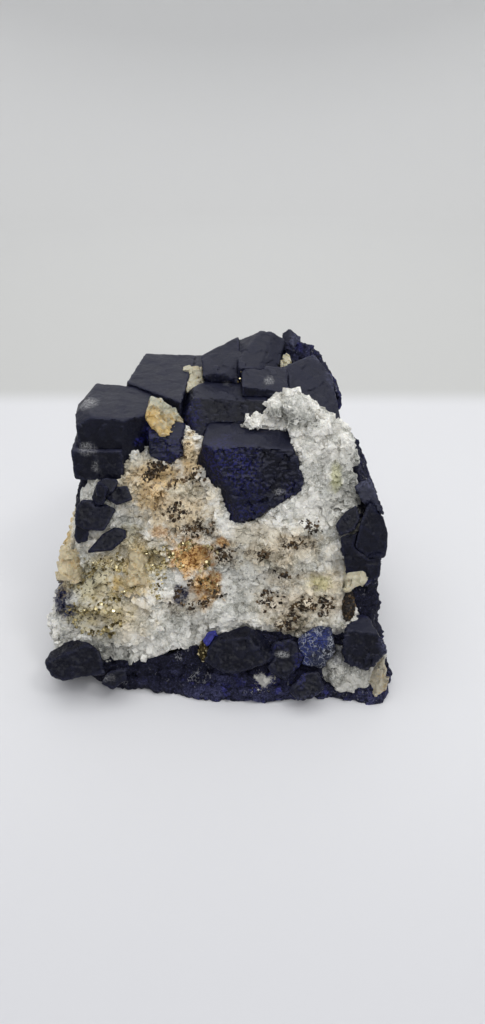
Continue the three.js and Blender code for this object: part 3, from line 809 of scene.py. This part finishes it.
WEDGE_FOOT = spots_near(("honey_wedge", (1, -6, -4), (8, 10, 5), 1.0),
                        ("honey_wedge", (-5, -5, 1), (4, 8, 5), 1.0))
HONEY = honey("honey calcite", (0.66, 0.57, 0.38, 1), (0.58, 0.40, 0.17, 1), (0.36, 0.19, 0.055, 1))
CREAM = honey("cream calcite", (0.60, 0.56, 0.42, 1), (0.56, 0.46, 0.26, 1), (0.36, 0.25, 0.11, 1))
AMBER = honey("amber calcite", (0.46, 0.42, 0.33, 1), (0.50, 0.34, 0.13, 1), (0.20, 0.12, 0.045, 1))
WEDGE = honey("cream calcite on honey", (0.50, 0.50, 0.40, 1), (0.62, 0.44, 0.18, 1),
              (0.36, 0.22, 0.07, 1), WEDGE_FOOT)
GOLD = pyrite("pyrite gold", (0.05, 0.038, 0.016, 1), (0.36, 0.29, 0.13, 1), (0.86, 0.76, 0.46, 1), 0.85)
BROWN = pyrite("pyrite rusted", (0.012, 0.008, 0.006, 1), (0.035, 0.022, 0.013, 1),
               (0.15, 0.095, 0.045, 1), 0.35)
print("made", HONEY.name, CREAM.name, AMBER.name, WEDGE.name, GOLD.name, BROWN.name)


# %% [markdown]
# ## Surface of broken stone
#
# The solids are smooth between their edges, but a broken mineral is not. Sculpting by hand would
# do it for one piece. There are some forty pieces here, so the wear is one node group that moves
# the points of the fine even mesh. Along the normals it adds broad swells, rounded grains, flat
# tilted facets and fine pits. A facet is a Voronoi cell whose surface is tipped by a random
# amount, which is just how cleaved grains look. Edges are worn by pulling each point towards the
# mean of its neighbours, more in some places than in others. No point goes below the table.

# %% Geometry group: broken stone
def above_table(group, place):
    """The same place, or the point of the table straight above it if it lies lower."""
    parts = add(group, "ShaderNodeSeparateXYZ", {0: place}).outputs
    height = maths(group, "MAXIMUM", parts[2], 0.0)
    return add(group, "ShaderNodeCombineXYZ", {0: parts[0], 1: parts[1], 2: height}).outputs[0]


def build_broken_stone():
    group, start, end = new_group(
        "broken stone", "GeometryNodeTree",
        [("Geometry", GEOMETRY, None), ("Swell Size", FLOAT, 8.0), ("Swell Depth", FLOAT, 0.0),
         ("Grain Size", FLOAT, 2.0), ("Grain Depth", FLOAT, 0.0),
         ("Facet Size", FLOAT, 3.0), ("Facet Step", FLOAT, 0.0), ("Facet Tilt", FLOAT, 0.0),
         ("Pit Size", FLOAT, 1.0), ("Pit Depth", FLOAT, 0.0), ("Wear", FLOAT, 0.0),
         ("Outward", FLOAT, 0.0), ("Seed", FLOAT, 0.0), ("Where", FLOAT, 1.0)],
        [("Geometry", GEOMETRY)],
    )
    place = add(group, "GeometryNodeInputPosition").outputs[0]
    normal = add(group, "GeometryNodeInputNormal").outputs[0]
    seed = add(group, "ShaderNodeCombineXYZ", {0: start["Seed"], 1: start["Seed"]}).outputs[0]
    here = vector_maths(group, "ADD", scaled(group, place, 1 / MM), seed)

    def noise(size, detail):
        scale = maths(group, "DIVIDE", 1.0, size)
        found = add(group, "ShaderNodeTexNoise", {"Vector": here, "Scale": scale, "Detail": detail})
        return product(group, maths(group, "SUBTRACT", found.outputs["Fac"], 0.5), 2.0)

    def cells(size):
        scale = maths(group, "DIVIDE", 1.0, size)
        return add(group, "ShaderNodeTexVoronoi", {"Vector": here, "Scale": scale}).outputs

    swell = product(group, noise(start["Swell Size"], 2.0), start["Swell Depth"])
    pits = product(group, noise(start["Pit Size"], 4.0), start["Pit Depth"])
    dome = maths(group, "SUBTRACT", 0.45, cells(start["Grain Size"])["Distance"])
    dome = product(group, dome, start["Grain Depth"])
    cell = cells(start["Facet Size"])
    tip = vector_maths(group, "SUBTRACT", cell["Color"], (0.5, 0.5, 0.5))
    arm = vector_maths(group, "SUBTRACT", here, cell["Position"])
    lean = product(group, vector_maths(group, "DOT_PRODUCT", arm, tip), start["Facet Tilt"])
    level = add(group, "ShaderNodeSeparateXYZ", {0: tip}).outputs[2]
    step = product(group, level, start["Facet Step"])

    neighbours = add(group, "GeometryNodeBlurAttribute", {"Value": place, "Iterations": 9},
                     data_type="FLOAT_VECTOR").outputs[0]
    inward = vector_maths(group, "SUBTRACT", neighbours, place)
    edge = product(group, vector_maths(group, "DOT_PRODUCT", inward, normal), -1 / MM)
    chips = remap(group, noise(5.0, 2.0), -0.1, 0.35, 0.35, 1.4)
    worn = scaled(group, inward, product(group, start["Wear"], chips))

    relief = dome
    for part in (pits, lean, step):
        relief = maths(group, "ADD", relief, part)
    relief = product(group, relief, start["Where"])
    broad = product(group, maths(group, "ADD", swell, start["Outward"]), start["Where"])
    push = scaled(group, normal, product(group, maths(group, "ADD", relief, broad), MM))
    moved = vector_maths(group, "ADD", place, vector_maths(group, "ADD", push, worn))
    moved = above_table(group, moved)

    shape = start["Geometry"]
    for name, value in (("relief", relief), ("edge", edge)):
        before = add(group, "GeometryNodeInputNamedAttribute", {"Name": name}, data_type="FLOAT")
        total = maths(group, "ADD", before.outputs[0], value)
        stored = add(group, "GeometryNodeStoreNamedAttribute",
                     {"Geometry": shape, "Name": name, "Value": total},
                     data_type="FLOAT", domain="POINT")
        shape = stored.outputs[0]
    set_position = add(group, "GeometryNodeSetPosition", {"Geometry": shape, "Position": moved})
    group.links.new(set_position.outputs[0], end["Geometry"])
    return group


BROKEN_STONE = build_broken_stone()


def set_inputs(modifier, values):
    """Fills a node modifier's inputs by their names."""
    for item in modifier.node_group.interface.items_tree:
        if item.in_out == "INPUT" and item.name in values:
            modifier[item.identifier] = values[item.name]


def read_from(modifier, label, layer):
    """Takes one of a node modifier's inputs from a vertex group of the piece."""
    for item in modifier.node_group.interface.items_tree:
        if item.in_out == "INPUT" and item.name == label:
            modifier[item.identifier + "_use_attribute"] = True
            modifier[item.identifier + "_attribute_name"] = layer


def break_up(piece, layer=None, **values):
    """Roughens a piece. A vertex group limits where, if one is named."""
    modifier = piece.modifiers.new("broken stone", "NODES")
    modifier.node_group = BROKEN_STONE
    set_inputs(modifier, {key.replace("_", " ").title(): value for key, value in values.items()})
    if layer:
        read_from(modifier, "Where", layer)
    apply_all(piece)


def finish_piece(piece, slot, *nodes):
    """Smooths a finished piece's gentle angles, and puts it in the place of its solids."""
    pick(piece)
    bpy.ops.object.shade_smooth_by_angle(angle=radians(35))
    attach(piece, "root")
    if nodes:
        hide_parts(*nodes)


print("broken stone has", len(BROKEN_STONE.nodes), "nodes")


# %% [markdown]
# ## The rock
#
# The rock is broken in chunks. It gets swells about eight millimetres wide, facets half as wide,
# and a grain of about two millimetres. Its front foot bulges a little further out, like a lip.

# %% Lazurite rock
FOOT_HEIGHT, FOOT_BACK = 5 * MM, -25 * MM

rock = fine_copy("lazurite_rind", "lazurite_rock_broken", voxel=0.62)
break_up(rock, swell_size=8.0, swell_depth=0.9, facet_size=4.0, facet_step=0.9, facet_tilt=0.5,
         grain_size=1.8, grain_depth=0.7, pit_size=1.5, pit_depth=0.4, outward=0.1, wear=0.3)
mark(rock, "foot", lambda place, normal: place.z < FOOT_HEIGHT and place.y < FOOT_BACK)
break_up(rock, "foot", swell_size=9.0, swell_depth=0.6, outward=1.6)
rock.data.materials.append(ROCK)
finish_piece(rock, "lazurite_rock", "lazurite_rind")
print("rock:", triangles(rock), "triangles")


# %% [markdown]
# ## The calcite bed
#
# The bed is broken across its grains. It gets lumps of six to ten millimetres with flat tilted
# faces, then fused grains of two to three millimetres. Its highest part is a knob that stands a
# little prouder than the rest. It also grows outward a little, to close the fine seam that was
# left round each crystal: a real crystal is gripped by the bed with no gap. The lump in the lower
# right corner is the same calcite, only greyer, cut off from the bed by the crystals above it.

# %% Calcite bed
bed_low, bed_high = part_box("calcite_matrix")
KNOB_FLOOR = bed_high.z - 9 * MM
KNOB_LEFT = bed_low.x + 70 * MM


def is_knob(place, normal):
    """The bed's highest part, right of the big crystal."""
    return place.z > KNOB_FLOOR and place.x > KNOB_LEFT and normal.z > 0


def calcite_piece(node, name, material, outward):
    piece = fine_copy(node, name, voxel=0.44)
    mark(piece, "knob", is_knob)
    break_up(piece, "knob", swell_size=6.0, swell_depth=0.8, outward=1.4)
    break_up(piece, swell_size=10.0, swell_depth=1.4, facet_size=6.0, facet_step=1.2,
             facet_tilt=0.5, grain_size=6.0, grain_depth=0.6, outward=outward, wear=0.4)
    break_up(piece, grain_size=2.6, grain_depth=0.5, facet_size=2.6, facet_step=0.5,
             facet_tilt=0.5, pit_size=1.2, pit_depth=0.2, seed=40.0)
    piece.data.materials.append(material)
    finish_piece(piece, "calcite", node)
    print(name + ":", triangles(piece), "triangles")
    return piece


bed = calcite_piece("calcite_matrix", "calcite_bed", CALCITE, 0.7)
calcite_piece("corner_calcite", "calcite_corner", GREY_CALCITE, 0.1)


# %% [markdown]
# ## The lazurite crystals
#
# Each crystal keeps its flat faces, but how fresh they are differs. Most have dull smooth tops and
# darker, faintly pitted display sides. The big one is etched deepest, apart from its faces that
# turn to the left. The ones along the foot are dark and pitted on every side. So each crystal has
# a limit on the upward tilt of a face: below it the face gets a darker colour, partly its own and
# partly painted shade for a face turned away from the ceiling light.

# %% Crystals
def etched_faces(place, normal):
    return normal.z < 0.6 and normal.x > -0.4


PITTED = {  # depth of the pits, depth of the swells, both in mm
    "main_crystal": (0.75, 0.2), "top_middle_crystal": (0.2, 0.25), "small_upper_crystal": (0.4, 0.7),
    "right_lower_crystal": (0.3, 0.4), "right_upper_crystal": (0.4, 0.5), "azure_crystal": (0.5, 0.6),
    "corner_crystal": (0.5, 0.5), "bottom_crystal": (0.3, 0.3), "lower_middle_crystal": (0.3, 0.4),
    "bottom_edge_crystal": (0.2, 0.3), "left_foot_crystal": (0.3, 0.4), "small_foot_crystal": (0.3, 0.3),
    "blue_nub": (0.3, 0.4), "low_plate_crystal": (0.2, 0.3), "peak_crystal": (0.3, 0.3),
    "ridge_crystal": (0.25, 0.3), "right_shoulder_crystal": (0.25, 0.3),
}
FRESH = (0.12, 0.2)
# Below the limit a face gets the darker colour, which is partly painted shade.
DARK_BELOW = {  # a face is dark if its normal points up less than this
    "top_middle_crystal": 0.85, "side_crystal": 0.7, "low_plate_crystal": 0.35, "corner_crystal": 0.8,
    "right_block_crystal": 0.95, "right_inner_crystal": 0.95, "right_lower_crystal": 2.0,
    "bottom_crystal": 2.0, "lower_middle_crystal": 2.0, "bottom_edge_crystal": 2.0,
    "left_foot_crystal": 2.0, "small_foot_crystal": 2.0, "leaf_crystal": 2.0,
    "cluster_crystals": 0.95, "left_plate_crystals": 0.9, "right_flank_crystal": 0.8,
    "left_flank_crystal": 0.8,
}
MATERIALS = {"azure_crystal": (AZURE, AZURE), "blue_nub": (NUB, NUB)}


def crystal(node, voxel=0.45):
    """Finishes one crystal: duller tops, and dark pitted display faces, their darkness partly painted
    shade.
    """
    depth, swell = PITTED.get(node, FRESH)
    limit = DARK_BELOW.get(node, 0.5)
    pitted_faces = etched_faces if node == "main_crystal" else lambda place, normal: normal.z < limit
    top, side = MATERIALS.get(node, (GROWN, ETCHED_AND_SHADED))
    seed = float(sum(map(ord, node)) % 97)
    piece = fine_copy(node, node + "_grown", voxel)
    break_up(piece, swell_size=6.0, swell_depth=swell, facet_size=4.0, facet_step=0.12 + swell * 0.4,
             facet_tilt=0.03 + swell * 0.2, pit_size=1.4, pit_depth=0.06 + depth * 0.1, outward=0.25,
             wear=0.25, seed=seed)
    mark(piece, "pitted", pitted_faces)
    break_up(piece, "pitted", facet_size=3.4, facet_step=depth * 0.9, facet_tilt=depth * 0.5,
             grain_size=1.4, grain_depth=depth * 0.25, pit_size=1.1, pit_depth=depth * 0.8, seed=seed)
    piece.data.materials.append(top)
    piece.data.materials.append(side)
    # Faces below the limit take the darker material: partly the etched faces' own colour, partly painted
    # shade.
    for face in piece.data.polygons:
        if face.normal.z < limit:
            face.material_index = 1
    finish_piece(piece, "lazurite", node)
    return piece


CRYSTAL_NODES = [name for name in NODES if name.endswith(("_crystal", "_crystals")) or name == "blue_nub"]
CRYSTALS = {name: crystal(name) for name in CRYSTAL_NODES}
print(len(CRYSTALS), "crystals,", sum(map(triangles, CRYSTALS.values())), "triangles")


# %% [markdown]
# ## Honey and cream lumps
#
# These are calcite too, so they break like the bed does, in flat facets of about three
# millimetres.

# %% Honey lumps
LUMPS = {
    "honey_wedge": WEDGE, "cream_wedge": CREAM, "cream_fleck": CREAM, "cream_nugget": CREAM,
    "amber_corner": AMBER, "tan_shoulder": HONEY, "amber_column": HONEY,
}
for name, material in LUMPS.items():
    piece = fine_copy(name, name + "_broken", voxel=0.35)
    break_up(piece, swell_size=4.0, swell_depth=0.6, facet_size=3.0, facet_step=0.8,
             facet_tilt=0.6, grain_size=1.8, grain_depth=0.3, outward=0.25, wear=0.4)
    piece.data.materials.append(material)
    finish_piece(piece, "honey_calcite", name)
print(len(LUMPS), "lumps")


# %% [markdown]
# ## Grains
#
# The bed sparkles with loose cleavage grains of calcite, and the pyrite is all small grains. One
# grain of each kind is modelled, and a second node group sows copies over a piece: it spreads
# points at least a set distance apart, thins them outside a ragged patch, and turns and sizes
# each copy at random. The copies are then made real geometry, because instances would be lost.

# %% Geometry group: sow grains
def build_sow():
    group, start, end = new_group(
        "sow grains", "GeometryNodeTree",
        [("Geometry", GEOMETRY, None), ("Grains", COLLECTION, None), ("Spacing", FLOAT, 1.0),
         ("Place", VECTOR, (0, 0, 0)), ("Reach", VECTOR, (10, 10, 10)), ("Raggedness", FLOAT, 0.5),
         ("Small", FLOAT, 0.6), ("Large", FLOAT, 1.2), ("Sink", FLOAT, 0.0), ("Seed", INTEGER, 1),
         ("Layer", "NodeSocketString", "open")],
        [("Geometry", GEOMETRY)],
    )
    here = scaled(group, add(group, "GeometryNodeInputPosition").outputs[0], 1 / MM)
    noise = add(group, "ShaderNodeTexNoise", {"Vector": here, "Scale": 0.35, "Detail": 3.0})
    ragged = ragged_distance(group, start, here, noise.outputs["Fac"])
    share = remap(group, ragged, 0.6, 1.1, 1.0, 0.0)
    open_side = add(group, "GeometryNodeInputNamedAttribute", {"Name": start["Layer"]}, data_type="FLOAT")
    share = product(group, share, open_side.outputs[0])
    points = add(group, "GeometryNodeDistributePointsOnFaces", {
        "Mesh": start["Geometry"], "Distance Min": product(group, start["Spacing"], MM),
        "Density Max": 4.0e6, "Density Factor": share, "Seed": start["Seed"],
    }, distribute_method="POISSON")
    sunk = scaled(group, points.outputs["Normal"], product(group, start["Sink"], -MM))
    placed = add(group, "GeometryNodeSetPosition", {"Geometry": points.outputs[0], "Offset": sunk})
    kinds = add(group, "GeometryNodeCollectionInfo", {
        "Collection": start["Grains"], "Separate Children": True, "Reset Children": True,
    })
    turn = add(group, "FunctionNodeRandomValue", {
        "Max": (2 * pi, 2 * pi, 2 * pi), "Seed": start["Seed"],
    }, data_type="FLOAT_VECTOR")
    size = add(group, "FunctionNodeRandomValue", {
        2: start["Small"], 3: start["Large"], "Seed": start["Seed"],
    }, data_type="FLOAT")
    grains = add(group, "GeometryNodeInstanceOnPoints", {
        "Points": placed.outputs[0], "Instance": kinds.outputs[0], "Pick Instance": True,
        "Rotation": turn.outputs[0], "Scale": size.outputs[1],
    })
    tone = add(group, "FunctionNodeRandomValue", {"Seed": 7}, data_type="FLOAT")
    toned = add(group, "GeometryNodeStoreNamedAttribute", {
        "Geometry": grains.outputs[0], "Name": "tone", "Value": tone.outputs[1],
    }, data_type="FLOAT", domain="INSTANCE")
    made = add(group, "GeometryNodeRealizeInstances", {"Geometry": toned.outputs[0]})
    place = add(group, "GeometryNodeInputPosition").outputs[0]
    lifted = above_table(group, place)
    lifted = add(group, "GeometryNodeSetPosition", {"Geometry": made.outputs[0], "Position": lifted})
    group.links.new(lifted.outputs[0], end["Geometry"])
    return group


SOW = build_sow()
print("sow grains has", len(SOW.nodes), "nodes")


# %% [markdown]
# A cleavage grain of calcite is a rhomb: a cube squashed along the line between two opposite
# corners. So a cube is stood on its corner and flattened, then one corner is cut off, as a broken
# grain has. A pyrite grain is a small, slightly flattened cube with its corners cut away.

# %% Model the grains
def stand_on_corner():
    centre = (0, 0, 0)
    bpy.ops.transform.rotate(value=radians(45), orient_axis="Z", center_override=centre)
    bpy.ops.transform.rotate(value=radians(54.7356), orient_axis="X", center_override=centre)


def grain_collection(name):
    collection = bpy.data.collections.new(name)
    bpy.context.scene.collection.children.link(collection)
    return collection


def new_grain(name, collection, material):
    bpy.ops.mesh.primitive_cube_add(size=MM)
    grain = bpy.context.object
    grain.name = name
    grain.data.materials.append(material)
    for other in grain.users_collection:
        other.objects.unlink(grain)
    collection.objects.link(grain)
    pick(grain)
    bpy.ops.object.mode_set(mode="EDIT")
    bpy.ops.mesh.select_all(action="SELECT")


def rhomb(name, collection, squash, stretch, cut):
    new_grain(name, collection, CALCITE_GRAINS)
    stand_on_corner()
    bpy.ops.transform.resize(value=(stretch, 1.0, squash))
    bpy.ops.mesh.bisect(plane_co=(0, 0, cut * MM), plane_no=(0.3, 0.2, 1), use_fill=True,
                        clear_outer=True)
    bpy.ops.object.mode_set(mode="OBJECT")


def pyrite_grain(name, collection, material, wear, stretch):
    new_grain(name, collection, material)
    bpy.ops.transform.resize(value=(1.0, stretch, 0.85))
    bpy.ops.mesh.bevel(offset=wear * MM, affect="VERTICES", segments=1)
    bpy.ops.object.mode_set(mode="OBJECT")


RHOMBS = grain_collection("rhombs")
for number, (squash, stretch, cut) in enumerate([(0.7, 1.0, 0.4), (0.6, 1.3, 0.3), (0.9, 1.1, 0.35)]):
    rhomb(f"rhomb_{number}", RHOMBS, squash, stretch, cut)
GOLD_GRAINS = grain_collection("gold grains")
BROWN_GRAINS = grain_collection("brown grains")
for number, (wear, stretch) in enumerate([(0.25, 1.0), (0.35, 1.3)]):
    pyrite_grain(f"gold_{number}", GOLD_GRAINS, GOLD, wear, stretch)
    pyrite_grain(f"brown_{number}", BROWN_GRAINS, BROWN, wear, stretch)


# %% [markdown]
# The grains are now sown on the finished pieces. A piece of grains can cover several patches:
# each patch is sown by itself, and then they are joined. A close row of small grains also lines
# the bed's rim along every crystal, where the calcite grew up against it.

# %% Sow the grains
def sow(name, ground, grains, slot, spots, nodes=(), **values):
    """Sows grains in patches (place in metres, reach in millimetres) over a piece."""
    sown = []
    for number, (place, reach) in enumerate(spots):
        piece = bpy.data.objects.new(name, ground.data.copy())
        bpy.context.collection.objects.link(piece)
        for group in ground.vertex_groups:
            piece.vertex_groups.new(name=group.name)
        modifier = piece.modifiers.new("sow grains", "NODES")
        modifier.node_group = SOW
        inputs = {key.title(): value for key, value in values.items()}
        inputs["Seed"] = values.get("seed", 1) + 50 * number
        place = tuple(place / MM)
        set_inputs(modifier, {"Grains": grains, "Place": place, "Reach": reach, **inputs})
        apply_all(piece)
        sown.append(piece)
    pick(sown[0])
    for piece in sown:
        piece.select_set(True)
    if len(sown) > 1:
        bpy.ops.object.join()
    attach(sown[0], "root")
    if nodes:
        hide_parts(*nodes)
    print(name + ":", triangles(sown[0]), "triangles")


EVERYWHERE = [(Vector((0, 0, 0)), (300.0, 300.0, 300.0))]
sow("calcite_grains", bed, RHOMBS, "calcite", EVERYWHERE, spacing=2.2, small=0.9, large=2.2,
    sink=0.5, seed=11)


def near_crystals(reach):
    """A test for places that lie within a distance of a crystal."""
    tree = search_tree(CRYSTALS.values())
    return lambda place: tree.find_nearest(place, reach)[0] is not None


RIM_WIDTH = 1.3 * MM
beside_crystal = near_crystals(RIM_WIDTH)
open_points = {point.index for point in bed.data.vertices
               for entry in point.groups if bed.vertex_groups[entry.group].name == "open"}
rim = bed.vertex_groups.new(name="rim")
rim.add([index for index in open_points if beside_crystal(bed.data.vertices[index].co)], 1.0, "REPLACE")
sow("calcite_rim", bed, RHOMBS, "calcite", EVERYWHERE, spacing=1.0, small=0.7, large=1.5,
    sink=0.1, seed=14, layer="rim")


def around(node, grow=2.0):
    """The middle of a solid, and its half sizes grown by some millimetres."""
    low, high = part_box(node)
    return middle_of(node), tuple((high - low) / 2 / MM + Vector((grow,) * 3))


PYRITE_PATCHES = [
    ("pyrite_seam", BROWN_GRAINS, 0.5), ("pyrite_upper_left", GOLD_GRAINS, 0.48),
    ("pyrite_lower_left", GOLD_GRAINS, 0.48), ("pyrite_spot", GOLD_GRAINS, 0.48),
    ("pyrite_rust", GOLD_GRAINS, 0.5), ("pyrite_middle", BROWN_GRAINS, 0.55),
]
for number, (node, grains, spacing) in enumerate(PYRITE_PATCHES):
    sow(node + "_grains", bed, grains, "pyrite", [around(node)], [node], spacing=spacing,
        small=0.4, large=1.05, sink=0.0, raggedness=0.45, seed=20 + number)

for node, material, grains in (("pyrite_strip", BROWN, BROWN_GRAINS), ("pyrite_tuft", GOLD, GOLD_GRAINS)):
    crust = fine_copy(node, node + "_crust", voxel=0.3)
    break_up(crust, swell_size=2.5, swell_depth=0.4, grain_size=0.9, grain_depth=0.5, facet_size=0.9,
             facet_step=0.2, facet_tilt=0.4)
    crust.data.materials.append(material)
    finish_piece(crust, "pyrite", node)
    sow(node + "_grains", crust, grains, "pyrite", [around(node)], spacing=1.0, small=0.4, large=0.9,
        sink=0.0, seed=33)


# %% [markdown]
# Loose grains lie outside the patches too. Rusted pyrite lies in ragged clumps across the bed,
# gold grains stray round the gold patches, and the top edge carries a pinch of gold.

# %% Sow the stray grains
CLUMPS = [bed_spot(*numbers) for numbers in (
    (0.69, 0.45, 4, 1.6), (0.77, 0.48, 4, 1.5), (0.84, 0.55, 3, 2.5), (0.71, 0.27, 4, 3),
    (0.82, 0.26, 4, 2.5), (0.88, 0.24, 2.5, 3), (0.77, 0.20, 3, 3.5), (0.75, 0.37, 4, 1.6),
    (0.56, 0.45, 3, 2.5), (0.48, 0.54, 5, 3), (0.42, 0.61, 5, 2.5), (0.34, 0.74, 4, 1.5),
    (0.40, 0.77, 4, 1.5),
)]
sow("pyrite_clumps", bed, BROWN_GRAINS, "pyrite", CLUMPS, spacing=0.6, small=0.35, large=1.0,
    sink=0.05, raggedness=0.9, seed=60)
STRAYS = [bed_spot(*numbers) for numbers in (
    (0.16, 0.34, 9, 5), (0.21, 0.41, 7, 3), (0.13, 0.21, 7, 4), (0.20, 0.22, 6, 3),
    (0.34, 0.42, 5, 4), (0.46, 0.44, 7, 4), (0.50, 0.32, 5, 4), (0.36, 0.32, 3, 3),
)]
sow("pyrite_strays", bed, GOLD_GRAINS, "pyrite", STRAYS, spacing=0.8, small=0.3, large=0.85,
    sink=0.05, raggedness=0.8, seed=62)
sow("ridge_gold", CRYSTALS["ridge_crystal"], GOLD_GRAINS, "pyrite",
    [(shifted("ridge_crystal", 0, -9, 2), (3, 5, 3))], spacing=0.8, small=0.3, large=0.7,
    sink=0.0, seed=80)

for collection in (RHOMBS, GOLD_GRAINS, BROWN_GRAINS):
    for grain in list(collection.objects):
        bpy.data.objects.remove(grain)
    bpy.data.collections.remove(collection)


# %% [markdown]
# ## Backdrop and light
#
# The specimen stands on a round pale sheet that runs up into a wall through a wide cove, so that
# it has the same plain surroundings from every side. The sheet turns a little greyer a hand's
# length behind the specimen. It is also painted greyer towards the front edge, as painted shade
# where the light falls off. The light is a big soft ceiling panel and a smaller one of the same
# power high in front, with a weaker one high at the back and a small one high at the right. The
# flat tops of the crystals catch a soft grey-blue shine, and their display sides stay dark, helped
# by their darker colour, which is partly painted shade. A pale world fills the shadows.

# %% Backdrop
WALL_LINE = 203 * MM


def backdrop_material():
    material, tree, shader = new_material("pale sheet", 0.9, 0.1)
    here = add(tree, "ShaderNodeTexCoord").outputs["Object"]
    parts = add(tree, "ShaderNodeSeparateXYZ", {0: here}).outputs
    # Painted shade: the floor turns greyer towards the front edge, where the light falls off.
    near = remap(tree, parts[1], -180 * MM, -20 * MM)
    floor_colour = mixed(tree, near, (0.66, 0.66, 0.675, 1), (0.765, 0.765, 0.775, 1))
    far = remap(tree, parts[1], WALL_LINE + 10 * MM, 900 * MM, kind="LINEAR")
    wall_colour = mixed(tree, far, (0.60, 0.60, 0.58, 1), (0.72, 0.72, 0.71, 1))
    share = remap(tree, parts[1], WALL_LINE - 14 * MM, WALL_LINE + 15 * MM)
    tree.links.new(mixed(tree, share, floor_colour, wall_colour), shader.inputs["Base Color"])
    return material


ROOM_RADIUS, ROOM_HEIGHT, COVE_RADIUS = 1.05, 1.0, 0.35
SHEET_DROP = 0.02 * MM  # the sheet lies this far below the base, so that the two don't flicker

bpy.ops.mesh.primitive_cylinder_add(vertices=96, radius=ROOM_RADIUS, depth=ROOM_HEIGHT,
                                    location=(0, 0, 0))
sheet = bpy.context.object
sheet.name = "backdrop"
pick(sheet)
bpy.ops.object.mode_set(mode="EDIT")
bpy.ops.mesh.select_all(action="SELECT")
bpy.ops.transform.translate(value=(0, 0, ROOM_HEIGHT / 2 - SHEET_DROP))
bpy.ops.mesh.bisect(plane_co=(0, 0, 0.99 * ROOM_HEIGHT), plane_no=(0, 0, 1), clear_outer=True)
bpy.ops.mesh.select_all(action="SELECT")
bpy.ops.mesh.normals_make_consistent(inside=True)
bpy.ops.mesh.select_all(action="DESELECT")
bpy.ops.object.mode_set(mode="OBJECT")
for edge in sheet.data.edges:
    edge.select = all(sheet.data.vertices[end].co.z < 0.01 for end in edge.vertices)
bpy.ops.object.mode_set(mode="EDIT")
bpy.ops.mesh.select_mode(type="EDGE")
bpy.ops.mesh.bevel(offset=COVE_RADIUS, segments=12)
bpy.ops.mesh.select_mode(type="VERT")
bpy.ops.object.mode_set(mode="OBJECT")
bpy.ops.object.shade_smooth_by_angle(angle=radians(40))
sheet.data.materials.append(backdrop_material())
print("backdrop has", len(sheet.data.polygons), "faces")


# %% Light
def panel(name, place, aim, width, height, power, colour=(1, 1, 1)):
    light = bpy.data.lights.new(name, "AREA")
    light.shape = "RECTANGLE"
    light.size = width
    light.size_y = height
    light.energy = power
    light.color = colour
    holder = bpy.data.objects.new(name, light)
    bpy.context.collection.objects.link(holder)
    holder.location = place
    holder.rotation_euler = (Vector(aim) - Vector(place)).to_track_quat("-Z", "Y").to_euler()


panel("ceiling panel", (0.0, 0.05, 0.75), (0, 0, 0.05), 0.9, 0.9, 2.4)
panel("back panel", (0.0, 0.75, 0.55), (0, 0, 0.06), 1.2, 0.6, 1.3)
panel("front panel", (0.1, -0.75, 0.85), (0, 0.25, 0.1), 0.8, 0.5, 2.4)
panel("small panel", (0.42, -0.35, 0.80), (0, 0, 0.05), 0.16, 0.16, 1.0)

world = bpy.data.worlds.new("pale room")
world.use_nodes = True
world.node_tree.nodes["Background"].inputs["Color"].default_value = (0.93, 0.95, 1.0, 1)
world.node_tree.nodes["Background"].inputs["Strength"].default_value = 0.6
bpy.context.scene.world = world
bpy.context.scene.view_settings.view_transform = "Standard"
